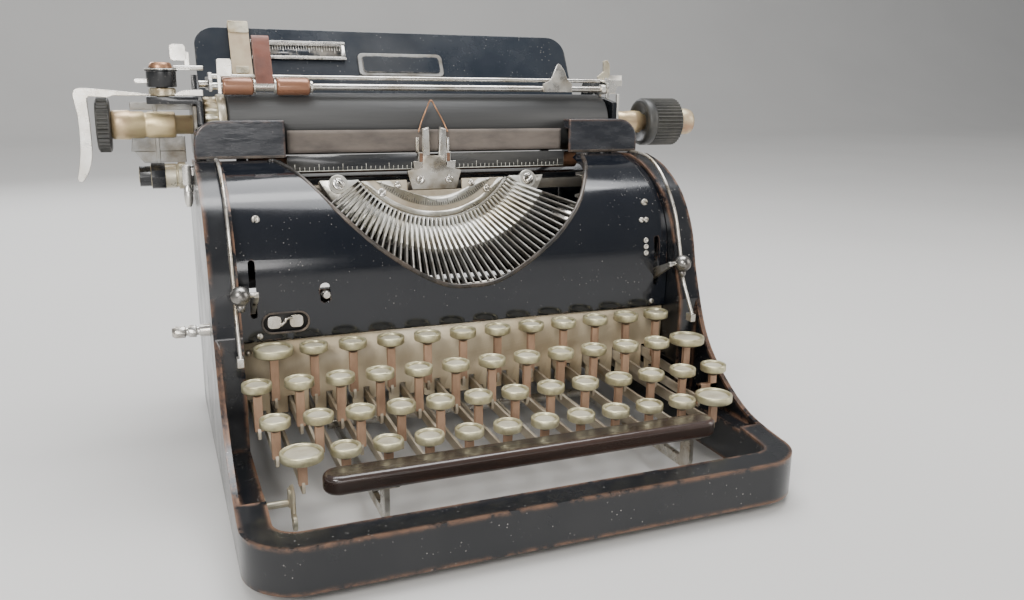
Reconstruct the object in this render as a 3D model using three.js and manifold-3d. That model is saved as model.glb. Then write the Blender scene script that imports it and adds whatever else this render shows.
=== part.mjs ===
// A standard front-strike office typewriter of the 1930s: one cast frame, four rows of round keys,
// a fan of type bars in a slotted segment, and a carriage that runs across the back.
// Millimetres. +Z is up, +X is to the typist's right, +Y is away from the typist.
// Pieces are drawn with Y counted from the front of the base and Z from the base's underside,
// and the whole machine is then moved onto the middle of its own footprint.
import * as THREE from "three";
import { mergeVertices } from "three/addons/utils/BufferGeometryUtils.js";
import Module from "manifold-3d";

const wasm = await Module();
wasm.setup();

// ---- Driving dimensions -------------------------------------------------------------------------
const GAP = 0.35; // between neighbours that touch or nearly touch
const RUN = 0.5; // between a piece and one that moves past it

// Frame
const FRAME_HALF_WIDTH = 130;
const FRAME_DEPTH = 268;
const FRONT_BAR_HEIGHT = 20;
const FRONT_BAR_DEPTH = 14;
const CHEEK_THICKNESS = 13;
const CHEEK_WALL = 4;
const CHEEK_TOP = 150; // under the ribbon covers
const CHEEK_BACK = 128; // under the carriage rails
const FRONT_CORNER_RADIUS = 24;
const FOOT_HEIGHT = 5;
const FOOT_RADIUS = 11;
const FOOT_SEAT = 2; // how deep a foot sits in the frame

// Keys
const KEY_PITCH = 19;
const KEY_RADIUS = 6.8;
const BIG_KEY_RADIUS = 9.4;
const KEY_RING_HEIGHT = 4;
const KEY_TRAVEL = 10.5;
const STEM_WIDTH = 4;
const STEM_DEPTH = 2.4;
const CRANK = 8.4; // a stem over the base ring is cranked inwards by this
const CRANK_Z = 32;
const LEVER_THICKNESS = 1.5;
const LEVER_HEIGHT = 6;
const FULCRUM_Y = 232;
const FULCRUM_RADIUS = 2.4;
// Rows from the back to the front: how far the row is shifted to the right of the middle, number of
// keys, key's y, key top, lever height under the key and fulcrum height.
const KEY_ROWS = [
  { shift: 1.4, count: 12, y: 108.1, top: 67.8, lever: 40, fulcrum: 48 },
  { shift: 0.5, count: 13, y: 88.7, top: 57.4, lever: 33, fulcrum: 39.5 },
  { shift: 5.6, count: 13, y: 70.0, top: 46.6, lever: 26.5, fulcrum: 31 },
  { shift: 4.5, count: 12, y: 52.9, top: 36.8, lever: 20, fulcrum: 22.5 },
];
// Keys with a body of their own: row, place in the row, name, and the type bar they swing, if any.
const LONE_KEYS = [
  { row: 0, at: 0, name: "margin_key", big: true },
  { row: 1, at: 12, name: "tabulator_key", big: true },
  { row: 3, at: 0, name: "shift_key_left", big: true },
  { row: 3, at: 11, name: "shift_key_right", big: true },
  { row: 2, at: 0, name: "shift_lock_key" },
  { row: 1, at: 5, name: "letter_key_a", bar: 17 },
  { row: 2, at: 6, name: "letter_key_b", bar: 21 },
  { row: 1, at: 7, name: "letter_key_c", bar: 26 },
];

// Space bar
const SPACE_LEFT = -94;
const SPACE_RIGHT = 98;
const SPACE_FRONT = 31;
const SPACE_BACK = 45;
const SPACE_TOP = 31.5;
const SPACE_BOTTOM = 23;
const SPACE_PIVOT_Y = 150;
const SPACE_PIVOT_Z = 8.5;
const SPACE_ARMS = [-67.8, 84.2];

// Front cover
const COVER_THICKNESS = 2;
const COVER_BOTTOM = 68.6;
const COVER_BACK = 176;
const OPENING_BOTTOM = 88;
const OPENING_HALF_WIDTH = 86;

// Type basket: a ring of pivots about the print point, leaning back by BASKET_LEAN
const PRINT_POINT = { y: 188.5, z: 167 };
const BASKET_LEAN = 17 * (Math.PI / 180);
const BAR_COUNT = 44;
const BAR_FAN = 54 * (Math.PI / 180); // half the fan
const PIVOT_RADIUS = 62;
const TIP_SPACE = 7.8; // from a raised bar's end to the print point
const BAR_LENGTH = PIVOT_RADIUS - TIP_SPACE;
const BAR_THICKNESS = 1;
const BAR_DEPTH = 3.6;
const BAR_REST_SWING = 138 * (Math.PI / 180);
const SEGMENT_FRONT = 1.5; // the segment's face, in front of the pivots
const SEGMENT_BACK = 4;
const SEGMENT_INSIDE = 9; // of the pivots
const SEGMENT_OUTSIDE = 11; // of the pivots
const SEGMENT_INNER = PIVOT_RADIUS - SEGMENT_INSIDE;
const SEGMENT_RIM = 1.3; // what joins the teeth along the inside
const RIM_FRONT = -2.4; // the rim lies behind the swinging bars
const SEGMENT_OUTER = PIVOT_RADIUS + SEGMENT_OUTSIDE;
const SLOT_WIDTH = 1.7;
const SLOT_RUNOUT = 0.2; // how far a slot runs into the rim

// Carriage
const PLATEN = { y: 205.5, z: 167, radius: 17, left: -110, right: 115 };
const SHAFT_RADIUS = 5;
const KNOB_RADIUS = 15;
const END_PLATE_LEFT = -125.5;
const END_PLATE_RIGHT = 121;
const END_PLATE = 3;
const RAIL_HEIGHT = 6;
const RAIL_WIDTH = 6;
const FRONT_RAIL_Y = 192.5;
const REAR_RAIL_Y = 252;
const HALF_WIDTH = 185; // to the tip of the line-space lever and the right knob's button
const FEED_RADIUS = 5;
const BAIL_ROD = { y: 196.6, z: 187.2, radius: 1.8 };
const BAIL_PIVOT = { y: 226, z: 188 };
const BAIL_ROLLER_RADIUS = 4.5;
const TABLE_TOP = 221;
const TABLE_TOP_Y = 266;
const TABLE_BOTTOM = 178;
const TABLE_BOTTOM_Y = 243;
const TABLE_THICKNESS = 2;

// ---- Finishes -----------------------------------------------------------------------------------
const finish = (color, roughness, metalness) =>
  new THREE.MeshStandardMaterial({ color, roughness, metalness });
const enamel = finish(0x0e1114, 0.2, 0.1);
const nickel = finish(0xb9b4a6, 0.35, 0.9);
const agedNickel = finish(0x9a8f7c, 0.55, 0.8);
const brass = finish(0xb79a5e, 0.45, 0.85);
const paleBrass = finish(0xc9bd92, 0.35, 0.85);
const cream = finish(0xcfc4a6, 0.6, 0.1);
const darkSteel = finish(0x3b352e, 0.55, 0.7);
const rubber = finish(0x2b2c2d, 0.8, 0);
const brownRubber = finish(0x7a4a37, 0.6, 0);
const blackWood = finish(0x15110f, 0.35, 0);
const cloth = finish(0x5d5650, 0.95, 0);
const felt = finish(0x4a443c, 1, 0);

// ---- Solids -------------------------------------------------------------------------------------
const solid = (geometry) => {
  const bare = geometry.index ? geometry.toNonIndexed() : geometry.clone();
  bare.deleteAttribute("normal");
  bare.deleteAttribute("uv");
  const merged = mergeVertices(bare, 1e-4);
  return new wasm.Manifold(
    new wasm.Mesh({
      numProp: 3,
      vertProperties: new Float32Array(merged.attributes.position.array),
      triVerts: new Uint32Array(merged.index.array),
    }),
  );
};
const join = (...pieces) => pieces.reduce((whole, piece) => whole.add(piece));
const cut = (whole, ...tools) => tools.reduce((rest, tool) => rest.subtract(tool), whole);

const box = (x0, x1, y0, y1, z0, z1) =>
  solid(
    new THREE.BoxGeometry(x1 - x0, y1 - y0, z1 - z0).translate(
      (x0 + x1) / 2,
      (y0 + y1) / 2,
      (z0 + z1) / 2,
    ),
  );

const outline = (points) => new THREE.Shape(points.map(([u, v]) => new THREE.Vector2(u, v)));
const extruded = (shape, depth, curveSegments = 6) =>
  new THREE.ExtrudeGeometry(shape, { depth, bevelEnabled: false, curveSegments, steps: 1 });
// A shape drawn in (y, z) and run along X, one drawn in (x, z) and run along Y, and one in (x, y).
const alongX = (shape, x0, x1) =>
  solid(extruded(shape, x1 - x0).rotateX(Math.PI / 2).rotateZ(Math.PI / 2).translate(x0, 0, 0));
const alongY = (shape, y0, y1) =>
  solid(extruded(shape, y1 - y0).rotateX(Math.PI / 2).translate(0, y1, 0));
const alongZ = (shape, z0, z1) => solid(extruded(shape, z1 - z0).translate(0, 0, z0));

const roundedBox = (x0, x1, y0, y1, radius) => {
  const shape = new THREE.Shape();
  shape.moveTo(x0 + radius, y0);
  shape.lineTo(x1 - radius, y0);
  shape.absarc(x1 - radius, y0 + radius, radius, -Math.PI / 2, 0);
  shape.lineTo(x1, y1 - radius);
  shape.absarc(x1 - radius, y1 - radius, radius, 0, Math.PI / 2);
  shape.lineTo(x0 + radius, y1);
  shape.absarc(x0 + radius, y1 - radius, radius, Math.PI / 2, Math.PI);
  shape.lineTo(x0, y0 + radius);
  shape.absarc(x0 + radius, y0 + radius, radius, Math.PI, 1.5 * Math.PI);
  return shape;
};

// Turned pieces: a profile of [distance along the axis, radius] from end to end on the axis.
const turned = (profile, sides) =>
  new THREE.LatheGeometry(
    profile.map(([along, radius]) => new THREE.Vector2(radius, along)),
    sides,
  );
const turnedX = (y, z, profile, sides = 20) =>
  solid(turned(profile, sides).rotateZ(-Math.PI / 2).translate(0, y, z));
const turnedY = (x, z, profile, sides = 20) => solid(turned(profile, sides).translate(x, 0, z));
const turnedZ = (x, y, profile, sides = 20) =>
  solid(turned(profile, sides).rotateX(Math.PI / 2).translate(x, y, 0));
const rodProfile = (start, end, radius) => [
  [start, 0],
  [start, radius],
  [end, radius],
  [end, 0],
];
const rodX = (y, z, radius, x0, x1, sides = 12) =>
  turnedX(y, z, rodProfile(x0, x1, radius), sides);
const rodY = (x, z, radius, y0, y1, sides = 12) =>
  turnedY(x, z, rodProfile(y0, y1, radius), sides);
const rodZ = (x, y, radius, z0, z1, sides = 12) =>
  turnedZ(x, y, rodProfile(z0, z1, radius), sides);
const ball = (x, y, z, radius, sides = 12) =>
  solid(new THREE.SphereGeometry(radius, sides, sides / 2).translate(x, y, z));

// A bent wire of round section through the given points.
const wire = (points, radius, sides = 6, steps = 14) => {
  const path = new THREE.CatmullRomCurve3(points.map((p) => new THREE.Vector3(...p)));
  const section = new THREE.Shape();
  section.absarc(0, 0, radius, 0, 2 * Math.PI);
  return solid(
    new THREE.ExtrudeGeometry(section, { steps, extrudePath: path, curveSegments: sides }),
  );
};

const machine = new THREE.Group();
const place = (name, piece, material) => {
  const mesh = piece.getMesh();
  const geometry = new THREE.BufferGeometry();
  geometry.setAttribute("position", new THREE.BufferAttribute(mesh.vertProperties, 3));
  geometry.setIndex(new THREE.BufferAttribute(mesh.triVerts, 1));
  const node = new THREE.Mesh(geometry, material);
  node.name = name;
  machine.add(node);
};

// ---- Frame: base ring and two cheeks, one casting -----------------------------------------------
const innerFace = FRAME_HALF_WIDTH - CHEEK_THICKNESS;
// The front edge of a cheek, from the base up over the shoulder to the ribbon covers.
const cheekEdge = new THREE.SplineCurve(
  [
    [FRONT_BAR_DEPTH, FRONT_BAR_HEIGHT - 1],
    [49, 24.4],
    [76, 39.5],
    [93.5, 58],
    [106, 88],
    [113, 112],
    [126, CHEEK_TOP - 18.5],
    [146, CHEEK_TOP - 5.5],
    [166, CHEEK_TOP],
  ].map(([y, z]) => new THREE.Vector2(y, z)),
);
const CHEEK_STEP_Y = 187; // behind this the cheek is low, under the carriage
const cheekOutline = () => {
  const shape = new THREE.Shape(cheekEdge.getPoints(18));
  shape.lineTo(CHEEK_STEP_Y, CHEEK_TOP);
  shape.lineTo(CHEEK_STEP_Y, CHEEK_BACK);
  shape.lineTo(FRAME_DEPTH, CHEEK_BACK);
  shape.lineTo(FRAME_DEPTH, 0);
  shape.lineTo(FRONT_BAR_DEPTH, 0);
  return shape;
};
const PUSH_ROD = { y: 130, z: 73, radius: 3 };
const KEY_RELIEF_X = FRAME_HALF_WIDTH - 2.6; // the outer keys dip past the cheeks
const FOOT_X = FRAME_HALF_WIDTH - 18;
const FOOT_FRONT_Y = 22;
const FOOT_REAR_Y = 248;
const footPlaces = [
  ["foot_front_left", -FOOT_X, FOOT_FRONT_Y],
  ["foot_front_right", FOOT_X, FOOT_FRONT_Y],
  ["foot_rear_left", -FOOT_X, FOOT_REAR_Y],
  ["foot_rear_right", FOOT_X, FOOT_REAR_Y],
];
const mainFrame = () => {
  const w = FRAME_HALF_WIDTH;
  const ring = cut(
    alongZ(roundedBox(-w, w, 0, FRAME_DEPTH, FRONT_CORNER_RADIUS), 0, FRONT_BAR_HEIGHT),
    alongZ(
      roundedBox(-innerFace, innerFace, FRONT_BAR_DEPTH, FRAME_DEPTH - FRONT_BAR_DEPTH, 10),
      -1,
      FRONT_BAR_HEIGHT + 1,
    ),
  );
  const footprint = alongZ(roundedBox(-w, w, 0, FRAME_DEPTH, FRONT_CORNER_RADIUS), -1, 200);
  const cheeks = join(
    alongX(cheekOutline(), -w, -innerFace),
    alongX(cheekOutline(), innerFace, w),
  ).intersect(footprint);
  // Behind the cover each cheek is a wall with a rim, hollow on the inside.
  const pocket = (side) => {
    const near = side * (innerFace - 1);
    const far = side * (w - CHEEK_WALL);
    return box(Math.min(near, far), Math.max(near, far), 128, 182, FRONT_BAR_HEIGHT + 70, 124);
  };
  const rear = box(
    -innerFace - 1,
    innerFace + 1,
    FRAME_DEPTH - FRONT_BAR_DEPTH,
    FRAME_DEPTH - FRONT_BAR_DEPTH + 6,
    FRONT_BAR_HEIGHT - 1,
    60,
  );
  const reliefs = [-1, 1].map((side) =>
    box(
      Math.min(side * (innerFace - 1), side * KEY_RELIEF_X),
      Math.max(side * (innerFace - 1), side * KEY_RELIEF_X),
      40,
      101,
      FRONT_BAR_HEIGHT,
      90,
    ),
  );
  const lugs = footPlaces.map(([, x, y]) => rodZ(x, y, FOOT_RADIUS + 3, 0, 6, 16));
  const seats = footPlaces.map(([, x, y]) =>
    rodZ(x, y, FOOT_RADIUS + GAP, -1, FOOT_SEAT + GAP, 16),
  );
  return cut(
    join(ring, cheeks, rear, ...lugs),
    pocket(-1),
    pocket(1),
    ...reliefs,
    ...seats,
    rodX(PUSH_ROD.y, PUSH_ROD.z, PUSH_ROD.radius + RUN, -w - 1, -innerFace + 1),
  );
};
place("main_frame", mainFrame(), enamel);
for (const [name, x, y] of footPlaces)
  place(
    name,
    turnedZ(x, y, [
      [-FOOT_HEIGHT, 0],
      [-FOOT_HEIGHT, FOOT_RADIUS - 1.5],
      [-FOOT_HEIGHT + 1.5, FOOT_RADIUS],
      [FOOT_SEAT, FOOT_RADIUS],
      [FOOT_SEAT, 0],
    ], 16),
    rubber,
  );

// ---- Front cover, rear panel, ribbon covers -----------------------------------------------------
const coverHalf = innerFace - GAP;
const coverLine = (offset) =>
  new THREE.SplineCurve(
    [
      [117, COVER_BOTTOM],
      [116.5, 88],
      [118, 108],
      [125, CHEEK_TOP - 26],
      [137, CHEEK_TOP - 13.5],
      [153, CHEEK_TOP - 5],
      [COVER_BACK, CHEEK_TOP - GAP],
    ].map(([y, z], i) => {
      const turn = Math.min(1, Math.max(0, (i - 1) / 4)) * (Math.PI / 2);
      return new THREE.Vector2(y + offset * Math.cos(turn), z - offset * Math.sin(turn));
    }),
  ).getPoints(16);
const opening = () => {
  const shape = new THREE.Shape();
  const w = OPENING_HALF_WIDTH;
  shape.moveTo(-w - 6, 200);
  shape.lineTo(-w - 6, CHEEK_TOP + 1);
  shape.splineThru(
    [
      [-w, CHEEK_TOP - 1],
      [-w * 0.62, 114.5],
      [-w * 0.24, OPENING_BOTTOM + 4],
      [0, OPENING_BOTTOM],
      [w * 0.24, OPENING_BOTTOM + 4],
      [w * 0.62, 114.5],
      [w, CHEEK_TOP - 1],
      [w + 6, CHEEK_TOP + 1],
    ].map(([x, z]) => new THREE.Vector2(x, z)),
  );
  shape.lineTo(w + 6, 200);
  return shape;
};
const WINDOW = { left: 11 - innerFace, right: 32 - innerFace, z: 77, half: 4 };
const STUB = { x: 41 - innerFace, z: 90, half: 2.5 };
const RIBBON_LEVER_X = innerFace - 7; // slots for the two ribbon levers
const LEVER_SLOT = 1.6;
const frontCover = () => {
  const outer = coverLine(0);
  const inner = coverLine(COVER_THICKNESS);
  const shell = alongX(
    new THREE.Shape([...outer, ...inner.reverse()]),
    -coverHalf,
    coverHalf,
  );
  const slots = [-1, 1].map((side) =>
    box(
      side * RIBBON_LEVER_X - LEVER_SLOT,
      side * RIBBON_LEVER_X + LEVER_SLOT,
      110,
      124,
      80,
      108,
    ),
  );
  return cut(
    shell,
    alongY(opening(), 100, 200),
    ...slots,
    alongY(
      roundedBox(WINDOW.left, WINDOW.right, WINDOW.z - WINDOW.half, WINDOW.z + WINDOW.half, 3.9),
      110,
      125,
    ),
    box(STUB.x - STUB.half, STUB.x + STUB.half, 110, 125, STUB.z - 5, STUB.z + 5),
  );
};
place("front_cover", frontCover(), enamel);
place(
  "rear_panel",
  box(-coverHalf, coverHalf, 263, 265, 62, CHEEK_BACK - 2),
  enamel,
);

const RIBBON_COVER = {
  front: 178,
  back: 186.8,
  inner: FRAME_HALF_WIDTH - 47,
  outer: FRAME_HALF_WIDTH - 1,
  top: CHEEK_TOP + 20,
};
const COVER_SHELL = 1.8;
const ribbonCover = (side) => {
  const c = RIBBON_COVER;
  const bottom = CHEEK_TOP + GAP;
  const face = (inset) => {
    const shape = new THREE.Shape();
    const radius = 12 - inset;
    shape.moveTo(c.inner + inset, bottom);
    shape.lineTo(c.outer - inset, bottom);
    shape.lineTo(c.outer - inset, c.top - inset - radius);
    shape.absarc(c.outer - inset - radius, c.top - inset - radius, radius, 0, Math.PI / 2);
    shape.lineTo(c.inner + inset, c.top - inset);
    return shape;
  };
  const shell = cut(
    alongY(face(0), c.front, c.back),
    alongY(face(COVER_SHELL), c.front + COVER_SHELL, c.back + 1).translate(0, 0, -0.5),
    box(c.inner - 1, c.inner + COVER_SHELL + 1, 183.5, c.back + 1, CHEEK_TOP, CHEEK_TOP + 15),
  );
  return side > 0 ? shell : shell.mirror([1, 0, 0]);
};
place("ribbon_cover_left", ribbonCover(-1), enamel);
place("ribbon_cover_right", ribbonCover(1), enamel);

// ---- Keyboard -----------------------------------------------------------------------------------
// A key is a ringed button on a flat stem, on a lever that runs back to its row's fulcrum.
const keyX = (row, at) => {
  const { shift, count } = KEY_ROWS[row];
  return shift + KEY_PITCH * (at - (count - 1) / 2);
};
const isCranked = (row, at) => Math.abs(keyX(row, at)) + STEM_WIDTH / 2 > innerFace - GAP;
const leverX = (row, at) => {
  const x = keyX(row, at);
  return isCranked(row, at) ? x - Math.sign(x) * CRANK : x;
};
const keyStem = (row, at) => {
  const { y, top, lever } = KEY_ROWS[row];
  const x = keyX(row, at);
  const half = STEM_WIDTH / 2;
  const bottom = lever - LEVER_HEIGHT / 2;
  const post = (centre, halfWidth, z0, z1) =>
    box(centre - halfWidth, centre + halfWidth, y - STEM_DEPTH / 2, y + STEM_DEPTH / 2, z0, z1);
  const high = top - KEY_RING_HEIGHT / 2;
  if (!isCranked(row, at)) return post(x, half, bottom, high);
  const inner = leverX(row, at);
  return join(
    post(x, half, CRANK_Z, high),
    post((x + inner) / 2, CRANK / 2 + 1, CRANK_Z, CRANK_Z + 4),
    post(inner, 1, bottom, CRANK_Z + 4),
  );
};
const BUTTON_SIDES = 10;
const keyButton = (row, at, big) => {
  const { y, top } = KEY_ROWS[row];
  const radius = big ? BIG_KEY_RADIUS : KEY_RADIUS;
  const low = top - KEY_RING_HEIGHT;
  const button = turnedZ(
    keyX(row, at),
    y,
    [
      [low, 0],
      [low, radius],
      [top, radius],
      [top, 0],
    ],
    BUTTON_SIDES,
  );
  return join(button, keyStem(row, at));
};
const leverBar = (row, x, back) => {
  const { y, lever, fulcrum } = KEY_ROWS[row];
  const rise = (fulcrum - lever) * ((back - y) / (FULCRUM_Y - y));
  const half = LEVER_HEIGHT / 2;
  return alongX(
    outline([
      [y - 1, lever - half],
      [back, lever + rise - half],
      [back, lever + rise + half],
      [y - 1, lever + half],
    ]),
    x - LEVER_THICKNESS / 2,
    x + LEVER_THICKNESS / 2,
  );
};
// A lone key's lever ends in a fork round the row's fulcrum bar.
const leverFork = (row, x) => {
  const { fulcrum } = KEY_ROWS[row];
  const bite = FULCRUM_RADIUS + RUN;
  const half = LEVER_THICKNESS / 2;
  const reach = FULCRUM_Y - bite - 1.2;
  return cut(
    join(
      leverBar(row, x, reach + 0.8),
      box(x - half, x + half, reach, FULCRUM_Y + 2, fulcrum - bite - 1.4, fulcrum + bite + 1.4),
    ),
    rodX(FULCRUM_Y, fulcrum, bite, x - half - 1, x + half + 1, 12),
    box(x - half - 1, x + half + 1, FULCRUM_Y, FULCRUM_Y + 3, fulcrum - bite, fulcrum + bite),
  );
};
KEY_ROWS.forEach((row, r) => {
  const lone = LONE_KEYS.filter((key) => key.row === r).map((key) => key.at);
  const together = [...Array(row.count).keys()].filter((at) => !lone.includes(at));
  place(
    `key_row_${r + 1}`,
    join(
      rodX(FULCRUM_Y, row.fulcrum, FULCRUM_RADIUS, -innerFace + GAP, innerFace - GAP, 6),
      ...together.map((at) => keyButton(r, at, false)),
      ...together.map((at) => leverBar(r, leverX(r, at), FULCRUM_Y)),
    ),
    paleBrass,
  );
});
for (const { row, at, name, big } of LONE_KEYS)
  place(name, join(keyButton(row, at, big), leverFork(row, leverX(row, at))), paleBrass);

const COMB = { front: 119.5, back: 121.5, bottom: 30, top: 67 };
const COMB_SLOT = 1.6; // half width of a lever's slot
const keyComb = () => {
  const slots = [];
  KEY_ROWS.forEach((row, r) => {
    const drop = (KEY_TRAVEL * (FULCRUM_Y - COMB.front)) / (FULCRUM_Y - row.y) + 2;
    for (let at = 0; at < row.count; at++) {
      const x = leverX(r, at);
      const z = row.lever + ((row.fulcrum - row.lever) * (COMB.front - row.y)) / (FULCRUM_Y - row.y);
      const low = z - LEVER_HEIGHT / 2 - drop;
      const high = z + LEVER_HEIGHT / 2 + 1.2;
      slots.push(
        box(x - COMB_SLOT, x + COMB_SLOT, COMB.front - 1, COMB.back + 1, Math.min(low, 29), high),
      );
    }
  });
  return cut(
    box(-coverHalf, coverHalf, COMB.front, COMB.back, COMB.bottom, COMB.top),
    ...slots,
  );
};
place("key_comb", keyComb(), cream);

const spaceBar = () => {
  const bar = alongZ(
    roundedBox(SPACE_LEFT, SPACE_RIGHT, SPACE_FRONT, SPACE_BACK, 6.9),
    SPACE_BOTTOM,
    SPACE_TOP,
  );
  const arms = SPACE_ARMS.map((x) =>
    alongX(
      outline([
        [34, 9],
        [42, 5.5],
        [SPACE_PIVOT_Y, SPACE_PIVOT_Z - 3],
        [SPACE_PIVOT_Y, SPACE_PIVOT_Z + 2],
        [42, 11.5],
        [42, SPACE_BOTTOM + 1],
        [34, SPACE_BOTTOM + 1],
      ]),
      x - 1.2,
      x + 1.2,
    ),
  );
  return join(
    bar,
    ...arms,
    rodX(SPACE_PIVOT_Y, SPACE_PIVOT_Z, 2.5, SPACE_ARMS[0] - 4, SPACE_ARMS[1] + 4),
  );
};
place("space_bar", spaceBar(), blackWood);

// ---- Type basket --------------------------------------------------------------------------------
// Basket space: u across, v up the lean, w out of the face towards the typist; origin at the
// print point. A piece drawn there is leaned back and moved to the print point.
const leaned = (piece) => {
  const degrees = (BASKET_LEAN * 180) / Math.PI;
  return piece.rotate([-degrees, 0, 0]).translate([0, PRINT_POINT.y, PRINT_POINT.z]);
};
const fanAngle = (bar) => -BAR_FAN + (2 * BAR_FAN * bar) / (BAR_COUNT - 1);
const turnedToFan = (piece, bar) => piece.rotate([0, -(fanAngle(bar) * 180) / Math.PI, 0]);
const END_TOOTH = 0.1526; // the rim goes this far past the last slots
// The segment and its plate end here, under the line scale.
const BASKET_TOP = END_TOOTH - SEGMENT_INNER * Math.cos(BAR_FAN);
const BAR_TAIL = 3; // past the pivot, inside its slot
const LINK_TAIL = 9; // a joined bar's tail reaches a link behind the segment
const typeBar = (tail) => {
  // Drawn hanging below the print point, lying at rest, before it is turned to its place.
  const half = BAR_THICKNESS / 2;
  const out = new THREE.Vector2(-Math.sin(BAR_REST_SWING), Math.cos(BAR_REST_SWING));
  const side = new THREE.Vector2(-out.y, out.x).multiplyScalar(BAR_DEPTH / 2);
  const at = (along, across) => [
    out.x * along + side.x * across,
    -PIVOT_RADIUS + out.y * along + side.y * across,
  ];
  return alongX(
    outline([
      at(-tail, -1),
      at(BAR_LENGTH - 4, -1),
      at(BAR_LENGTH, -1.5),
      at(BAR_LENGTH, 1.5),
      at(BAR_LENGTH - 4, 1),
      at(-tail, 1),
    ]),
    -half,
    half,
  );
};
const typeSegment = () => {
  const ring = cut(
    turnedY(0, 0, rodProfile(-SEGMENT_FRONT, SEGMENT_BACK, SEGMENT_OUTER), 72),
    rodY(0, 0, SEGMENT_INNER, -SEGMENT_FRONT - 1, SEGMENT_BACK + 1, 72),
    rodY(0, 0, SEGMENT_INNER + SEGMENT_RIM, -SEGMENT_FRONT - 1, -RIM_FRONT, 72),
    box(-90, 90, -40, 40, BASKET_TOP, 90),
  );
  const slots = [];
  for (let bar = 0; bar < BAR_COUNT; bar++)
    slots.push(
      turnedToFan(
        box(
          -SLOT_WIDTH / 2,
          SLOT_WIDTH / 2,
          -SEGMENT_FRONT - 1,
          SEGMENT_BACK + 1,
          -SEGMENT_OUTER - 1,
          -SEGMENT_INNER - SEGMENT_RIM + SLOT_RUNOUT,
        ),
        bar,
      ),
    );
  return cut(ring, ...slots);
};
place("type_segment", leaned(typeSegment()), nickel);

const PLATE_THICKNESS = 1.8;
const TYPE_GUIDE = { y: 181, thickness: 1.6, half: 16, bottom: 131 };
const segmentPlate = () =>
  cut(
    turnedY(0, 0, rodProfile(-RIM_FRONT, -RIM_FRONT + PLATE_THICKNESS, SEGMENT_INNER - GAP), 72),
    box(-90, 90, -40, 40, BASKET_TOP, 90),
  );
// The plate is notched for the type guide.
const guideNotch = () => {
  const { y, half, bottom } = TYPE_GUIDE;
  return box(-half - GAP, half + GAP, y - 20, y + 20, bottom - GAP, bottom + 20);
};
place("segment_plate", cut(leaned(segmentPlate()), guideNotch()), agedNickel);

const loneBars = LONE_KEYS.filter((key) => key.bar !== undefined);
const barBank = () => {
  const bars = [];
  for (let bar = 0; bar < BAR_COUNT; bar++)
    if (!loneBars.some((key) => key.bar === bar)) bars.push(turnedToFan(typeBar(LINK_TAIL), bar));
  // The link that holds the tails: an arc behind the segment.
  const radius = PIVOT_RADIUS + Math.cos(BAR_REST_SWING) * LINK_TAIL;
  const back = Math.sin(BAR_REST_SWING) * LINK_TAIL;
  const start = -Math.PI / 2 - BAR_FAN - 0.02;
  const end = -Math.PI / 2 + BAR_FAN + 0.02;
  const arc = new THREE.Shape();
  arc.absarc(0, 0, radius + 1, start, end, false);
  arc.absarc(0, 0, radius - 1, end, start, true);
  return join(alongY(arc, back - 1.2, back + 0.6), ...bars);
};
place("typebar_bank", leaned(barBank()), darkSteel);
for (const { name, bar } of loneBars)
  place(name.replace("letter_key", "typebar"), leaned(turnedToFan(typeBar(BAR_TAIL), bar)), darkSteel);

// The bars' heads lie on a felt-topped rest that follows the fan.
const REST_DROP = 4.2;
const REST_RADIUS = 2;
const typebarRest = () => {
  const reach = BAR_LENGTH - 9;
  const points = [];
  for (let step = 0; step <= 10; step++) {
    const angle = -BAR_FAN - 0.06 + (2 * (BAR_FAN + 0.06) * step) / 10;
    const along = PIVOT_RADIUS - Math.cos(BAR_REST_SWING) * reach;
    const drop = Math.sin(BAR_REST_SWING) * REST_DROP;
    points.push([
      Math.sin(angle) * (along + drop),
      -Math.sin(BAR_REST_SWING) * reach + drop,
      -Math.cos(angle) * (along + drop),
    ]);
  }
  return wire(points, REST_RADIUS, 2, 14);
};
place("typebar_rest", leaned(typebarRest()), felt);

// The guide's outline, from its middle to the right; the left is the same.
const guideEdge = [
  [TYPE_GUIDE.half - 3, TYPE_GUIDE.bottom],
  [TYPE_GUIDE.half, 141.5],
  [7, 144],
  [7, 165],
  [3.2, 166],
  [2.6, 150],
];
const guidePlate = outline([...guideEdge, ...guideEdge.map(([x, z]) => [-x, z]).reverse()]);
place(
  "type_guide",
  alongY(guidePlate, TYPE_GUIDE.y, TYPE_GUIDE.y + TYPE_GUIDE.thickness),
  nickel,
);

const SCALE_Y = 183;
const SCALE_HALF = RIBBON_COVER.inner - 1;
const SCALE_BOTTOM = PRINT_POINT.z + BASKET_TOP + 6.4;
const lineScale = () =>
  join(
    box(-SCALE_HALF, -8.5, SCALE_Y, SCALE_Y + 1.2, SCALE_BOTTOM, 151.2),
    box(8.5, SCALE_HALF, SCALE_Y, SCALE_Y + 1.2, SCALE_BOTTOM, 151.2),
    box(-9, 9, SCALE_Y, SCALE_Y + 1.2, SCALE_BOTTOM, SCALE_BOTTOM + 2.2),
  );
place("line_scale", lineScale(), enamel);

const RIBBON = { half: RIBBON_COVER.inner - 2, y: 186, thickness: 0.6, bottom: 152.2, top: 164.4 };
const ribbon = () => {
  const { half, y, thickness, bottom, top } = RIBBON;
  return box(-half, half, y - thickness / 2, y + thickness / 2, bottom, top);
};
place("ribbon", ribbon(), cloth);
const vibrator = () => {
  const fork = new THREE.Shape();
  fork.moveTo(-10, 145.5);
  fork.lineTo(10, 145.5);
  fork.lineTo(10, 160);
  fork.lineTo(8, 160);
  fork.lineTo(8, 149);
  fork.lineTo(-8, 149);
  fork.lineTo(-8, 160);
  fork.lineTo(-10, 160);
  return alongY(fork, 184.7, 185.3);
};
place("ribbon_vibrator", vibrator(), nickel);

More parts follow.
